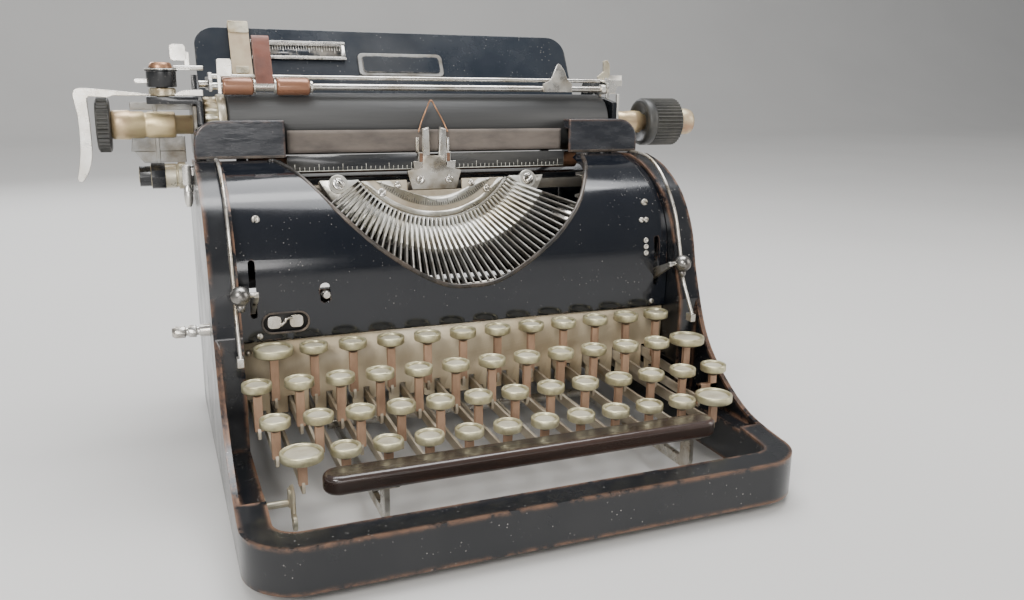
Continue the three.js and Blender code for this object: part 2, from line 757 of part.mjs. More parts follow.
const SPOOL_RADIUS = 16;
const SPOOL_CORE = 12;
const SPOOL_SPACE = 3; // between a spool and the cheek
const SPOOL = { x: innerFace - SPOOL_SPACE - SPOOL_RADIUS, y: 163, bottom: 125, top: 139 };
for (const [name, side] of [
  ["ribbon_spool_left", -1],
  ["ribbon_spool_right", 1],
])
  place(
    name,
    turnedZ(side * SPOOL.x, SPOOL.y, [
      [SPOOL.bottom, 0],
      [SPOOL.bottom, SPOOL_RADIUS],
      [SPOOL.bottom + 1, SPOOL_RADIUS],
      [SPOOL.bottom + 1, SPOOL_CORE],
      [SPOOL.top - 1, SPOOL_CORE],
      [SPOOL.top - 1, SPOOL_RADIUS],
      [SPOOL.top, SPOOL_RADIUS],
      [SPOOL.top, 0],
    ], 20),
    agedNickel,
  );

const BELL = { x: innerFace - 33, y: 176, z: 110, radius: 13 };
const bell = () => {
  const profile = [[BELL.z, 0], [BELL.z, 2.2], [BELL.z + 7, 2.2]];
  profile.push([BELL.z + 7 - 6, BELL.radius - 1.2], [BELL.z + 1, BELL.radius]);
  for (let step = 1; step < 6; step++) {
    const angle = (step / 6) * (Math.PI / 2);
    profile.push([BELL.z + 1 + 8 * Math.sin(angle), BELL.radius * Math.cos(angle)]);
  }
  profile.push([BELL.z + 9, 0]);
  return turnedZ(BELL.x, BELL.y, profile, 16);
};
place("bell", bell(), nickel);

// Ball-headed ribbon levers stand out of the cover through slots at its two sides. Each is cranked
// outwards in front of the cheek.
const RIBBON_LEVER = { y: 122.5, z: 84, ballX: innerFace + 0.2, ballY: 101, ballZ: 95, ball: 4.5, hub: 3.4 };
for (const [name, side] of [
  ["ribbon_lever_left", -1],
  ["ribbon_lever_right", 1],
]) {
  const { y, z, ballX, ballY, ballZ, ball: radius, hub } = RIBBON_LEVER;
  const half = LEVER_SLOT - RUN;
  const x = side * RIBBON_LEVER_X;
  const arm = outline([
    [y, z - 3],
    [y + 4, z],
    [y + 1, z + 4],
    [ballY, ballZ + 1.2],
    [ballY, ballZ - 1.2],
  ]);
  const [inner, outer] = [x - side * half, side * ballX].sort((a, b) => a - b);
  place(
    name,
    join(
      alongX(arm, x - half, x + half),
      rodX(ballY + 1, ballZ, 1.1, inner, outer, 8),
      ball(side * ballX, ballY, ballZ, radius),
      rodX(y + 1, z, hub, x - half, x + half),
    ),
    nickel,
  );
}
const PUSH_TIP = -FRAME_HALF_WIDTH - 17;
const PUSH_END = 15 - innerFace;
place(
  "side_push_rod",
  turnedX(PUSH_ROD.y, PUSH_ROD.z, [
    [PUSH_TIP, 0],
    [PUSH_TIP, 2],
    [PUSH_TIP + 1.5, 3],
    [PUSH_TIP + 6, 3],
    [PUSH_TIP + 6, 2.2],
    [PUSH_TIP + 7.5, 2.2],
    [PUSH_TIP + 7.5, 3],
    [PUSH_TIP + 11, 3],
    [PUSH_TIP + 11, 2.2],
    [PUSH_TIP + 12.5, 2.2],
    [PUSH_TIP + 12.5, PUSH_ROD.radius],
    [PUSH_END, PUSH_ROD.radius],
    [PUSH_END, 0],
  ], 12),
  nickel,
);

// ---- Carriage rails -----------------------------------------------------------------------------
const railTop = CHEEK_BACK + GAP + RAIL_HEIGHT;
for (const [name, y] of [
  ["carriage_rail_front", FRONT_RAIL_Y],
  ["carriage_rail_rear", REAR_RAIL_Y],
])
  place(
    name,
    box(
      -FRAME_HALF_WIDTH + 1,
      FRAME_HALF_WIDTH - 1,
      y - RAIL_WIDTH / 2,
      y + RAIL_WIDTH / 2,
      CHEEK_BACK + GAP,
      railTop,
    ),
    agedNickel,
  );

// ---- Carriage -----------------------------------------------------------------------------------
const BED_BOTTOM = railTop + RUN;
const BED_TOP = BED_BOTTOM + 3;
const LEVER_PIN = { x: -141.5, y: 196, radius: 3, bottom: 182, top: 186, cap: 7.2, capTop: 196 };
const endPlate = () => {
  const shape = new THREE.Shape();
  shape.moveTo(190, BED_BOTTOM);
  shape.lineTo(262, BED_BOTTOM);
  shape.lineTo(262, 150);
  shape.lineTo(238, 176);
  shape.lineTo(BAIL_PIVOT.y + 5, BAIL_PIVOT.z + 5);
  shape.lineTo(BAIL_PIVOT.y - 5, BAIL_PIVOT.z + 5);
  shape.lineTo(BAIL_PIVOT.y - 8, 184);
  shape.lineTo(190, 179.5);
  return shape;
};
const carriageFrame = () => {
  const plates = [END_PLATE_LEFT, END_PLATE_RIGHT - END_PLATE].map((x) =>
    alongX(endPlate(), x, x + END_PLATE),
  );
  const bracket = box(LEVER_PIN.x - 8, END_PLATE_LEFT + 1, 190, 204, 178, 181.5);
  const lower = join(
    rodX(211, 139.5, 5.5, -156, END_PLATE_LEFT + 1, 12),
    rodX(211, 139.5, 7, -150, -143, 12),
  );
  return cut(
    join(
      box(END_PLATE_LEFT, END_PLATE_RIGHT, 190, 256, BED_BOTTOM, BED_TOP),
      ...plates,
      bracket,
      lower,
      rodZ(LEVER_PIN.x, LEVER_PIN.y, LEVER_PIN.radius, 180, LEVER_PIN.top + 3),
      rodZ(LEVER_PIN.x, LEVER_PIN.y, LEVER_PIN.cap, LEVER_PIN.top + RUN, LEVER_PIN.capTop, 16),
    ),
    rodX(PLATEN.y, PLATEN.z, SHAFT_RADIUS + GAP, -200, 200, 16),
    rodX(BAIL_PIVOT.y, BAIL_PIVOT.z, 2 + GAP, -200, 200),
    rodX(PLATEN.y, 144.2, 2.5 + GAP, -124, 200),
  );
};
place("carriage_frame", carriageFrame(), enamel);

place(
  "platen_roller",
  cut(
    rodX(PLATEN.y, PLATEN.z, PLATEN.radius, PLATEN.left, PLATEN.right, 40),
    rodX(PLATEN.y, PLATEN.z, SHAFT_RADIUS + GAP, PLATEN.left - 1, PLATEN.right + 1, 16),
  ),
  rubber,
);
const SHAFT_LEFT = -174.5;
const HUB_RADIUS = 6.8;
place(
  "platen_shaft",
  turnedX(PLATEN.y, PLATEN.z, [
    [SHAFT_LEFT, 0],
    [SHAFT_LEFT, SHAFT_RADIUS],
    [-167, SHAFT_RADIUS],
    [-167, HUB_RADIUS],
    [-158, HUB_RADIUS + 0.8],
    [-152, HUB_RADIUS - 0.6],
    [-136, HUB_RADIUS],
    [-136, SHAFT_RADIUS],
    [127.7, SHAFT_RADIUS],
    [127.7, HUB_RADIUS],
    [145.4, HUB_RADIUS],
    [145.4, SHAFT_RADIUS],
    [171.8, SHAFT_RADIUS],
    [171.8, 7],
    [175, 8.4],
    [182, 8.4],
    [HALF_WIDTH, 6.5],
    [HALF_WIDTH, 0],
  ], 16),
  brass,
);
// A ribbed knob: a toothed outline run along the shaft, with a bore for it.
const toothed = (teeth, outer, inner) => {
  const shape = new THREE.Shape();
  for (let i = 0; i < teeth * 4; i++) {
    const radius = i % 4 < 2 ? outer : inner;
    const angle = (2 * Math.PI * (i + (i % 2 ? 0.2 : -0.2))) / (teeth * 4);
    const y = PLATEN.y + radius * Math.cos(angle);
    const z = PLATEN.z + radius * Math.sin(angle);
    if (i) shape.lineTo(y, z);
    else shape.moveTo(y, z);
  }
  return shape;
};
const bored = (piece) =>
  cut(piece, rodX(PLATEN.y, PLATEN.z, SHAFT_RADIUS + GAP, -300, 300, 12));
place("platen_knob_left", bored(alongX(toothed(20, 14, 13.1), SHAFT_LEFT, -167.4)), rubber);
place("platen_knob_right", bored(alongX(toothed(22, KNOB_RADIUS, 14), 145.8, 171.4)), rubber);
place("line_ratchet", bored(alongX(toothed(20, 14.5, 12.8), -121.5, PLATEN.left - 5)), brass);

const LEVER_TIP_X = -HALF_WIDTH;
const lineSpaceLever = () => {
  const { x, y, bottom, top, radius } = LEVER_PIN;
  const low = bottom;
  const arm = new THREE.Shape();
  arm.moveTo(x + 8, y - 6);
  arm.lineTo(x + 8, y + 6);
  arm.lineTo(x - 9, y + 6);
  arm.lineTo(-177, y + 3);
  arm.lineTo(-177, y - 3);
  arm.lineTo(x - 9, y - 6);
  const blade = new THREE.Shape();
  blade.moveTo(-175, low);
  blade.lineTo(-175, top - 0.5);
  blade.quadraticCurveTo(LEVER_TIP_X + 4, top, LEVER_TIP_X + 1.5, 172);
  blade.quadraticCurveTo(LEVER_TIP_X - 1.2, 156, LEVER_TIP_X + 1, 139);
  blade.quadraticCurveTo(LEVER_TIP_X + 8, 146, LEVER_TIP_X + 8.2, 160);
  blade.quadraticCurveTo(LEVER_TIP_X + 8, 174, -175, low);
  return cut(
    join(alongZ(arm, low, top - 0.2), alongY(blade, y - 3, y + 3).intersect(
      box(LEVER_TIP_X, -170, y - 3, y + 3, 130, 190),
    )),
    rodZ(x, y, radius + GAP, low - 1, top + 1),
  );
};
place("line_space_lever", lineSpaceLever(), nickel);

const tableSlope = Math.atan2(TABLE_TOP_Y - TABLE_BOTTOM_Y, TABLE_TOP - TABLE_BOTTOM);
const tableLength = Math.hypot(TABLE_TOP_Y - TABLE_BOTTOM_Y, TABLE_TOP - TABLE_BOTTOM);
// Drawn upright on y = 0 with its lower edge at z = 0, then leaned back.
const onTable = (piece) =>
  piece.rotate([(-tableSlope * 180) / Math.PI, 0, 0]).translate([0, TABLE_BOTTOM_Y, TABLE_BOTTOM]);
const TABLE_LEFT = -121;
const TABLE_RIGHT = 117.5;
const paperTable = () => {
  const sheet = roundedBox(TABLE_LEFT, TABLE_RIGHT, -40, tableLength, 12);
  const legs = [-100, 96].map((x) => box(x - 3, x + 3, 242, 246, BED_TOP + GAP, 182));
  return join(
    onTable(alongY(sheet, 0, TABLE_THICKNESS).intersect(box(-200, 200, -5, 5, 0, 90))),
    ...legs,
  );
};
place("paper_table", paperTable(), enamel);
const SCALE_THICKNESS = 1.2;
const windowFrame = () =>
  onTable(
    cut(
      box(-89, -33.5, -SCALE_THICKNESS - GAP, -GAP, 28, 39),
      box(-86.5, -36, -3, 1, 30, 37),
    ),
  );
place("paper_scale", windowFrame(), nickel);
// The side guide hooks over the table's upper edge and slides along it, in front of the scale.
const GUIDE = { left: -101.5, right: -90, bottom: 16, thickness: 1.6, hook: 8 };
const sideGuide = () => {
  const { left, right, bottom, thickness, hook } = GUIDE;
  const front = -SCALE_THICKNESS - GAP - RUN;
  const back = TABLE_THICKNESS + RUN;
  const roof = tableLength + RUN;
  const crown = roof + thickness;
  return onTable(
    join(
      box(left, right, front - thickness, front, bottom, crown),
      box(left, right, front - thickness, back + thickness, roof, crown),
      box(left, right, back, back + thickness, tableLength - hook, crown),
    ),
  );
};
place("paper_side_guide", sideGuide(), agedNickel);

const BAIL_LEFT = -118.4;
const BAIL_RIGHT = 115.6;
const bailArm = (x) =>
  join(
    alongX(
      outline([
        [BAIL_ROD.y - 3, BAIL_ROD.z - 2],
        [BAIL_ROD.y - 3, BAIL_ROD.z + 3],
        [BAIL_PIVOT.y - 2, BAIL_PIVOT.z + 4],
        [BAIL_PIVOT.y + 3, BAIL_PIVOT.z + 2],
        [BAIL_PIVOT.y + 3, BAIL_PIVOT.z - 3],
        [BAIL_PIVOT.y - 4, BAIL_PIVOT.z - 2],
      ]),
      x,
      x + 1.6,
    ),
  );
const BAIL_ROLLERS = [
  ["bail_roller_left", -111.7, -96.2],
  ["bail_roller_right", -83.8, -66.4],
];
const paperBail = () => {
  const finger = alongX(
    outline([
      [BAIL_ROD.y - 2.5, BAIL_ROD.z - 1],
      [BAIL_ROD.y - 1, BAIL_ROD.z + 3],
      [BAIL_ROD.y + 9, 213],
      [BAIL_ROD.y + 11, 212],
      [BAIL_ROD.y + 3, BAIL_ROD.z + 2],
    ]),
    -94.5,
    -85.5,
  );
  return join(
    rodX(BAIL_ROD.y, BAIL_ROD.z, BAIL_ROD.radius, BAIL_LEFT, BAIL_RIGHT + 1.6),
    rodX(BAIL_ROD.y + 4, BAIL_ROD.z + 5, 1.2, BAIL_LEFT, BAIL_RIGHT + 1.6),
    bailArm(BAIL_LEFT),
    bailArm(BAIL_RIGHT),
    box(BAIL_LEFT, BAIL_LEFT + 1.6, BAIL_ROD.y, BAIL_ROD.y + 6, BAIL_ROD.z, BAIL_ROD.z + 6),
    box(BAIL_RIGHT, BAIL_RIGHT + 1.6, BAIL_ROD.y, BAIL_ROD.y + 6, BAIL_ROD.z, BAIL_ROD.z + 6),
    finger,
    rodX(BAIL_PIVOT.y, BAIL_PIVOT.z, 2, END_PLATE_LEFT, BAIL_LEFT + 1),
    rodX(BAIL_PIVOT.y, BAIL_PIVOT.z, 2, BAIL_RIGHT + 0.6, END_PLATE_RIGHT),
  );
};
place("paper_bail", paperBail(), nickel);
for (const [name, x0, x1] of BAIL_ROLLERS)
  place(
    name,
    cut(
      rodX(BAIL_ROD.y, BAIL_ROD.z, BAIL_ROLLER_RADIUS, x0, x1, 16),
      rodX(BAIL_ROD.y, BAIL_ROD.z, BAIL_ROD.radius + GAP, x0 - 1, x1 + 1, 12),
    ),
    brownRubber,
  );
place(
  "feed_roller",
  turnedX(PLATEN.y, 144.2, [
    [END_PLATE_LEFT + END_PLATE + GAP, 0],
    [END_PLATE_LEFT + END_PLATE + GAP, 2.5],
    [-100, 2.5],
    [-100, FEED_RADIUS],
    [100, FEED_RADIUS],
    [100, 2.5],
    [END_PLATE_RIGHT, 2.5],
    [END_PLATE_RIGHT, 0],
  ], 14),
  brownRubber,
);
place(
  "carriage_release_lever",
  join(
    alongX(
      outline([[226, 170], [232, 170], [216, 192], [208, 196], [207, 193]]),
      END_PLATE_RIGHT + GAP,
      END_PLATE_RIGHT + 2,
    ),
    box(END_PLATE_RIGHT + GAP, END_PLATE_RIGHT + 12, 207, 210, 193, 196),
    rodX(228, 172, 3.5, END_PLATE_RIGHT + GAP, END_PLATE_RIGHT + 4),
  ),
  nickel,
);

// ---- Carriage drive, hung under the rear rail ---------------------------------------------------
const DRUM = { x: 39 - innerFace, z: 99, radius: 24, front: 236, back: 250 };
place(
  "mainspring_drum",
  turnedY(DRUM.x, DRUM.z, [
    [DRUM.front, 0],
    [DRUM.front, 22],
    [DRUM.front + 1.5, DRUM.radius],
    [DRUM.back - 4, DRUM.radius],
    [DRUM.back - 4, DRUM.radius - 2],
    [DRUM.back - 2, DRUM.radius - 2],
    [DRUM.back - 2, DRUM.radius],
    [DRUM.back, DRUM.radius],
    [DRUM.back, 0],
  ], 24),
  agedNickel,
);
const ESCAPEMENT = { x: 20, z: 111, radius: 15 };
const escapement = () => {
  const shape = new THREE.Shape();
  const teeth = 20;
  for (let i = 0; i < teeth * 2; i++) {
    const radius = i % 2 ? ESCAPEMENT.radius - 2.5 : ESCAPEMENT.radius;
    const angle = (Math.PI * i) / teeth;
    const x = ESCAPEMENT.x + radius * Math.cos(angle);
    const z = ESCAPEMENT.z + radius * Math.sin(angle);
    if (i) shape.lineTo(x, z);
    else shape.moveTo(x, z);
  }
  return join(
    alongY(shape, 244, 247),
    rodY(ESCAPEMENT.x, ESCAPEMENT.z, 4, 238, 250),
  );
};
place("escapement_wheel", escapement(), brass);

// The machine stands on its feet, and its origin is the middle of its footprint.
const lowest = new THREE.Box3().setFromObject(machine);
machine.position.set(0, -(lowest.min.y + lowest.max.y) / 2, FOOT_HEIGHT);

export default machine;
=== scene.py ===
import math

import bmesh
import bpy
from mathutils import Matrix, Vector


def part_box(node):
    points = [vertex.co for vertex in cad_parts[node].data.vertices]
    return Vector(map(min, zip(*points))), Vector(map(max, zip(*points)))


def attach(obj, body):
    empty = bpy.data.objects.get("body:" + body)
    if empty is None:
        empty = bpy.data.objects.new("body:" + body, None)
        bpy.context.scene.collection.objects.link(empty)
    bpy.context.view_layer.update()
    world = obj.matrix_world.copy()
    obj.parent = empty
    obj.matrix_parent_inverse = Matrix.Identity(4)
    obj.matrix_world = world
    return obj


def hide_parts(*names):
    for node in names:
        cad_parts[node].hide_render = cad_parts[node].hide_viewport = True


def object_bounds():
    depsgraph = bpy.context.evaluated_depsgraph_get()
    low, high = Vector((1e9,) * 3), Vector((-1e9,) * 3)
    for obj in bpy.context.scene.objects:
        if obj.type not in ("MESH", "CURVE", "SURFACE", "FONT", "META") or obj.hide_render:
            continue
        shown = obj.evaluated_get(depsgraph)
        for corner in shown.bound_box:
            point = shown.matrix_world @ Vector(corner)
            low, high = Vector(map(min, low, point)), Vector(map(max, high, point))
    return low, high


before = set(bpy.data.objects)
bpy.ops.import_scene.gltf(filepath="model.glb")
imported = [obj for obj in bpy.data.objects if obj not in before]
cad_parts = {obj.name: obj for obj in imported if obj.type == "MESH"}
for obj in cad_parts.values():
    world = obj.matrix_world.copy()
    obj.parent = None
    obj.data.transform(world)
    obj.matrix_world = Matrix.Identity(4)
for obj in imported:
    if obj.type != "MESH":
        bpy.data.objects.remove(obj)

cad_low, cad_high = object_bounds()

# ---- Where things are -----------------------------------------------------------------------------
# Every piece is measured in millimetres from the front of the base and from its underside, the way
# a maker would lay the machine out on a bench, and mm() turns that into the frame's metres.
base_low, base_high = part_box("main_frame")
FRONT, UNDERSIDE = base_low[1], base_low[2]


def mm(x, y, z):
    return Vector((x / 1000, FRONT + y / 1000, UNDERSIDE + z / 1000))


# ---- Camera, floor and light ----------------------------------------------------------------------
# A seated typist's view from a little left of the machine, on a pale sweep under soft studio light.
LENS = 31.16
YAW, PITCH, ROLL = math.radians(22.17), math.radians(13.73), math.radians(0.65)
ahead = Vector((math.sin(YAW) * math.cos(PITCH), math.cos(YAW) * math.cos(PITCH), -math.sin(PITCH)))
level = Vector((math.cos(YAW), -math.sin(YAW), 0))
above = level.cross(ahead)
right = math.cos(ROLL) * level + math.sin(ROLL) * above
up = -math.sin(ROLL) * level + math.cos(ROLL) * above
camera_data = bpy.data.cameras.new("camera")
camera_data.lens = LENS
camera_data.sensor_width = 36
camera = bpy.data.objects.new("camera", camera_data)
bpy.context.scene.collection.objects.link(camera)
camera.matrix_world = Matrix.Translation(mm(-150.37, -307.19, 190.26)) @ Matrix(
    (right, up, -ahead)
).transposed().to_4x4()
bpy.context.scene.camera = camera


def area_light(name, place, target, width, height, watts, colour):
    data = bpy.data.lights.new(name, "AREA")
    data.shape = "RECTANGLE"
    data.size, data.size_y = width, height
    data.energy = watts
    data.color = colour
    lamp = bpy.data.objects.new(name, data)
    bpy.context.scene.collection.objects.link(lamp)
    lamp.location = place
    lamp.rotation_euler = (Vector(target) - Vector(place)).to_track_quat("-Z", "Y").to_euler()


area_light("key_softbox", (-0.75, -0.95, 0.85), (0, -0.02, 0.1), 0.5, 0.45, 16, (1, 0.98, 0.95))
area_light("top_softbox", (0.15, 0.15, 1.15), (0, 0, 0.1), 0.9, 0.7, 14, (0.97, 0.98, 1))
area_light("right_fill", (1.1, -0.5, 0.5), (0, 0, 0.1), 0.6, 0.7, 6, (1, 0.97, 0.93))
area_light("back_fill", (-0.4, 1.2, 0.7), (0, 0, 0.12), 0.8, 0.5, 8, (0.95, 0.97, 1))
area_light("low_front_fill", (-0.25, -1.35, 0.3), (0, -0.05, 0.06), 0.7, 0.25, 5, (1, 0.98, 0.96))
area_light("sweep_wash", (0, 0.4, 4.2), (0, 4.2, 1.4), 4.0, 1.5, 150, (1, 1, 1))
world = bpy.data.worlds.new("studio")
world.use_nodes = True
world.node_tree.nodes["Background"].inputs["Color"].default_value = (0.62, 0.64, 0.67, 1)
world.node_tree.nodes["Background"].inputs["Strength"].default_value = 0.45
bpy.context.scene.world = world

# A paper sweep that lies flat under the machine and curves up far behind it.
SWEEP_HALF, SWEEP_FRONT, SWEEP_BACK, SWEEP_BEND, SWEEP_HEIGHT = 9.0, -6.0, 4.2, 1.6, 6.0
sweep_line = [(SWEEP_FRONT, 0.0), (-1.0, 0.0), (SWEEP_BACK - SWEEP_BEND, 0.0)]
for i in range(1, 17):
    angle = math.radians(90 * i / 16)
    sweep_line.append((SWEEP_BACK - SWEEP_BEND + SWEEP_BEND * math.sin(angle),
                       SWEEP_BEND * (1 - math.cos(angle))))
sweep_line.append((SWEEP_BACK, SWEEP_HEIGHT))
sweep_form = bmesh.new()
edges = [[sweep_form.verts.new((x, y, cad_low[2] + z)) for y, z in sweep_line] for x in (-SWEEP_HALF,
    SWEEP_HALF)]
for i in range(len(sweep_line) - 1):
    sweep_form.faces.new((edges[0][i], edges[1][i], edges[1][i + 1], edges[0][i + 1])).smooth = True
sweep_mesh = bpy.data.meshes.new("sweep")
sweep_form.to_mesh(sweep_mesh)
sweep_form.free()
sweep = bpy.data.objects.new("sweep", sweep_mesh)
bpy.context.scene.collection.objects.link(sweep)
paper = bpy.data.materials.new("pale_sweep")
paper.use_nodes = True
paper_nodes, paper_links = paper.node_tree.nodes, paper.node_tree.links
paper_place = paper_nodes.new("ShaderNodeTexCoord")
paper_cloud = paper_nodes.new("ShaderNodeTexNoise")
paper_cloud.inputs["Scale"].default_value = 3.0
paper_grain = paper_nodes.new("ShaderNodeTexNoise")
paper_grain.inputs["Scale"].default_value = 700.0
for cloud in (paper_cloud, paper_grain):
    paper_links.new(paper_place.outputs["Object"], cloud.inputs["Vector"])
paper_tone = paper_nodes.new("ShaderNodeMix")
paper_tone.data_type = "RGBA"
paper_tone.inputs[6].default_value = (0.6, 0.59, 0.57, 1)
paper_tone.inputs[7].default_value = (0.55, 0.54, 0.525, 1)
paper_links.new(paper_cloud.outputs["Fac"], paper_tone.inputs[0])
paper_relief = paper_nodes.new("ShaderNodeBump")
paper_relief.inputs["Strength"].default_value = 0.05
paper_relief.inputs["Distance"].default_value = 0.0003
paper_links.new(paper_grain.outputs["Fac"], paper_relief.inputs["Height"])
paper_shader = paper_nodes["Principled BSDF"]
paper_shader.inputs["Roughness"].default_value = 0.85
paper_links.new(paper_tone.outputs[2], paper_shader.inputs["Base Color"])
paper_links.new(paper_relief.outputs["Normal"], paper_shader.inputs["Normal"])
sweep_mesh.materials.append(paper)

# ---- Frame casting --------------------------------------------------------------------------------
# One iron casting: a low ring round the foot and two cheeks that sweep up over the keyboard. It is
# stove enamelled gloss black, and hands have rubbed its edges through to copper brown.


def aged(name, clean, soiled, patch, roughness, metallic, bump=0.1, worn=None, worn_metal=0.4,
         wear=0.5, reach=0.0016, specks=0.0, grain=900.0, coat=0.0, streak=(1, 1, 1)):
    """A finish that has seen use: soiling in patches, a fine surface, and wear where edges are."""
    material = bpy.data.materials.new(name)
    material.use_nodes = True
    tree = material.node_tree
    shader = tree.nodes["Principled BSDF"]
    shader.inputs["Coat Weight"].default_value = coat
    shader.inputs["Coat Roughness"].default_value = 0.08

    def node(kind, **values):
        made = tree.nodes.new(kind)
        for key, value in values.items():
            if hasattr(made, key) and not key[0].isupper():
                setattr(made, key, value)
            else:
                made.inputs[key.replace("_", " ")].default_value = value
        return made

    def noise(scale, detail=4.0, rough=0.6):
        made = node("ShaderNodeTexNoise", Scale=scale, Detail=detail, Roughness=rough)
        tree.links.new(spread.outputs["Vector"], made.inputs["Vector"])
        return made.outputs["Fac"]

    def ramp(source, low, high):
        made = node("ShaderNodeMapRange")
        made.inputs["From Min"].default_value = low
        made.inputs["From Max"].default_value = high
        tree.links.new(source, made.inputs["Value"])
        return made.outputs["Result"]

    def mixed(factor, first, second, kind="RGBA"):
        made = node("ShaderNodeMix", data_type=kind)
        slots = {"RGBA": (6, 7, 2), "FLOAT": (2, 3, 0)}[kind]
        tree.links.new(factor, made.inputs[0])
        for value, place in ((first, slots[0]), (second, slots[1])):
            if isinstance(value, bpy.types.NodeSocket):
                tree.links.new(value, made.inputs[place])
            elif kind == "RGBA":
                made.inputs[place].default_value = (*value, 1)
            else:
                made.inputs[place].default_value = value
        return made.outputs[slots[2]]

    def maths(operation, first, second):
        made = node("ShaderNodeMath", operation=operation)
        for place, value in enumerate((first, second)):
            if isinstance(value, bpy.types.NodeSocket):
                tree.links.new(value, made.inputs[place])
            else:
                made.inputs[place].default_value = value
        return made.outputs[0]

    where = node("ShaderNodeTexCoord")
    spread = node("ShaderNodeMapping", Scale=streak)
    tree.links.new(where.outputs["Object"], spread.inputs["Vector"])
    patches = ramp(noise(patch, 6.0), 0.42, 0.66)
    colour = mixed(patches, clean, soiled)
    rough = mixed(ramp(noise(patch * 2.3, 5.0), 0.35, 0.7), roughness[0], roughness[1], "FLOAT")
    metal = None
    if specks:
        cells = node("ShaderNodeTexVoronoi", Scale=420.0)
        tree.links.new(where.outputs["Object"], cells.inputs["Vector"])
        dots = maths("MULTIPLY", ramp(cells.outputs["Distance"], 0.16, 0.1), ramp(noise(60), 0.5, 0.62))
        colour = mixed(maths("MULTIPLY", dots, specks), colour, (0.42, 0.4, 0.37))
    if worn:
        edge = node("ShaderNodeBevel", samples=4)
        edge.inputs["Radius"].default_value = reach
        shape = node("ShaderNodeNewGeometry")
        turn = node("ShaderNodeVectorMath", operation="DOT_PRODUCT")
        tree.links.new(edge.outputs["Normal"], turn.inputs[0])
        tree.links.new(shape.outputs["Normal"], turn.inputs[1])
        bare = ramp(turn.outputs["Value"], 0.99, 0.8)
        broken = ramp(noise(95, 8.0, 0.7), 0.62 - wear * 0.35, 0.66 - wear * 0.2)
        chips = ramp(noise(34, 9.0, 0.75), 0.75 - wear * 0.06, 0.78 - wear * 0.06)
        rub = maths("MAXIMUM", maths("MULTIPLY", bare, broken), maths("MULTIPLY", chips, 0.8))
        tone = mixed(noise(210, 3.0), worn, [c * 0.45 for c in worn])
        colour = mixed(rub, colour, tone)
        rough = mixed(rub, rough, 0.5, "FLOAT")
        metal = mixed(rub, metallic, worn_metal, "FLOAT")
    tree.links.new(colour, shader.inputs["Base Color"])
    tree.links.new(rough, shader.inputs["Roughness"])
    if metal is None:
        shader.inputs["Metallic"].default_value = metallic
    else:
        tree.links.new(metal, shader.inputs["Metallic"])
    relief = node("ShaderNodeBump")
    relief.inputs["Strength"].default_value = bump
    relief.inputs["Distance"].default_value = 0.0004
    tree.links.new(mixed(noise(patch * 4), noise(grain, 2.0), 0.5, "FLOAT"), relief.inputs["Height"])
    tree.links.new(relief.outputs["Normal"], shader.inputs["Normal"])
    return material


COPPER_BROWN = (0.32, 0.17, 0.1)
enamel = aged("black_enamel", (0.004, 0.005, 0.007), (0.012, 0.0125, 0.014), 16, (0.14, 0.32), 0.0, 0.06,
              worn=COPPER_BROWN, wear=0.62, reach=0.0038, specks=0.5, coat=0.15)


def lathe(form, profile, centre, axis="Z", sides=40):
    """Adds a turned shape: profile is (radius, place along the axis) pairs in mm, end to end."""
    turns = {
        "X": lambda r, a, c, s: (a, r * c, r * s),
        "Y": lambda r, a, c, s: (r * s, a, r * c),
        "Z": lambda r, a, c, s: (r * c, r * s, a),
    }
    rings = []
    for radius, along in profile:
        if radius < 1e-6:
            x, y, z = turns[axis](0, along, 1, 0)
            rings.append([form.verts.new(mm(centre[0] + x, centre[1] + y, centre[2] + z))])
            continue
        ring = []
        for i in range(sides):
            angle = 2 * math.pi * i / sides
            x, y, z = turns[axis](radius, along, math.cos(angle), math.sin(angle))
            ring.append(form.verts.new(mm(centre[0] + x, centre[1] + y, centre[2] + z)))
        rings.append(ring)
    for first, second in zip(rings, rings[1:]):
        for i in range(sides):
            j = (i + 1) % sides
            if len(first) == 1 and len(second) > 1:
                form.faces.new((first[0], second[j], second[i]))
            elif len(second) == 1 and len(first) > 1:
                form.faces.new((first[i], first[j], second[0]))
            elif len(first) > 1:
                form.faces.new((first[i], first[j], second[j], second[i]))


def rod(form, start, end, radius, sides=20):
    """Adds a straight round bar between two places in mm."""
    a, b = mm(*start), mm(*end)
    along = (b - a).normalized()
    side = along.orthogonal().normalized()
    other = along.cross(side)
    rings = []
    for centre in (a, b):
        rings.append(
            [
                form.verts.new(
                    centre
                    + radius / 1000
                    * (side * math.cos(2 * math.pi * i / sides) + other * math.sin(2 * math.pi * i / sides))
                )
                for i in range(sides)
            ]
        )
    for i in range(sides):
        j = (i + 1) % sides
        form.faces.new((rings[0][i], rings[0][j], rings[1][j], rings[1][i]))
    form.faces.new(list(reversed(rings[0])))
    form.faces.new(rings[1])


def prism(form, outline, low, high, across="X"):
    """Adds a flat shape with thickness, its outline drawn across the direction it is cut along."""
    spread = {
        "X": lambda u, v, w: (w, u, v),
        "Y": lambda u, v, w: (u, w, v),
        "Z": lambda u, v, w: (u, v, w),
    }[across]
    ends = [[form.verts.new(mm(*spread(u, v, w))) for u, v in outline] for w in (low, high)]
    count = len(outline)
    for i in range(count):
        j = (i + 1) % count
        form.faces.new((ends[0][i], ends[0][j], ends[1][j], ends[1][i]))
    form.faces.new(list(reversed(ends[0])))
    form.faces.new(ends[1])


def block(form, x0, x1, y0, y1, z0, z1):
    prism(form, [(x0, y0), (x1, y0), (x1, y1), (x0, y1)], z0, z1, "Z")


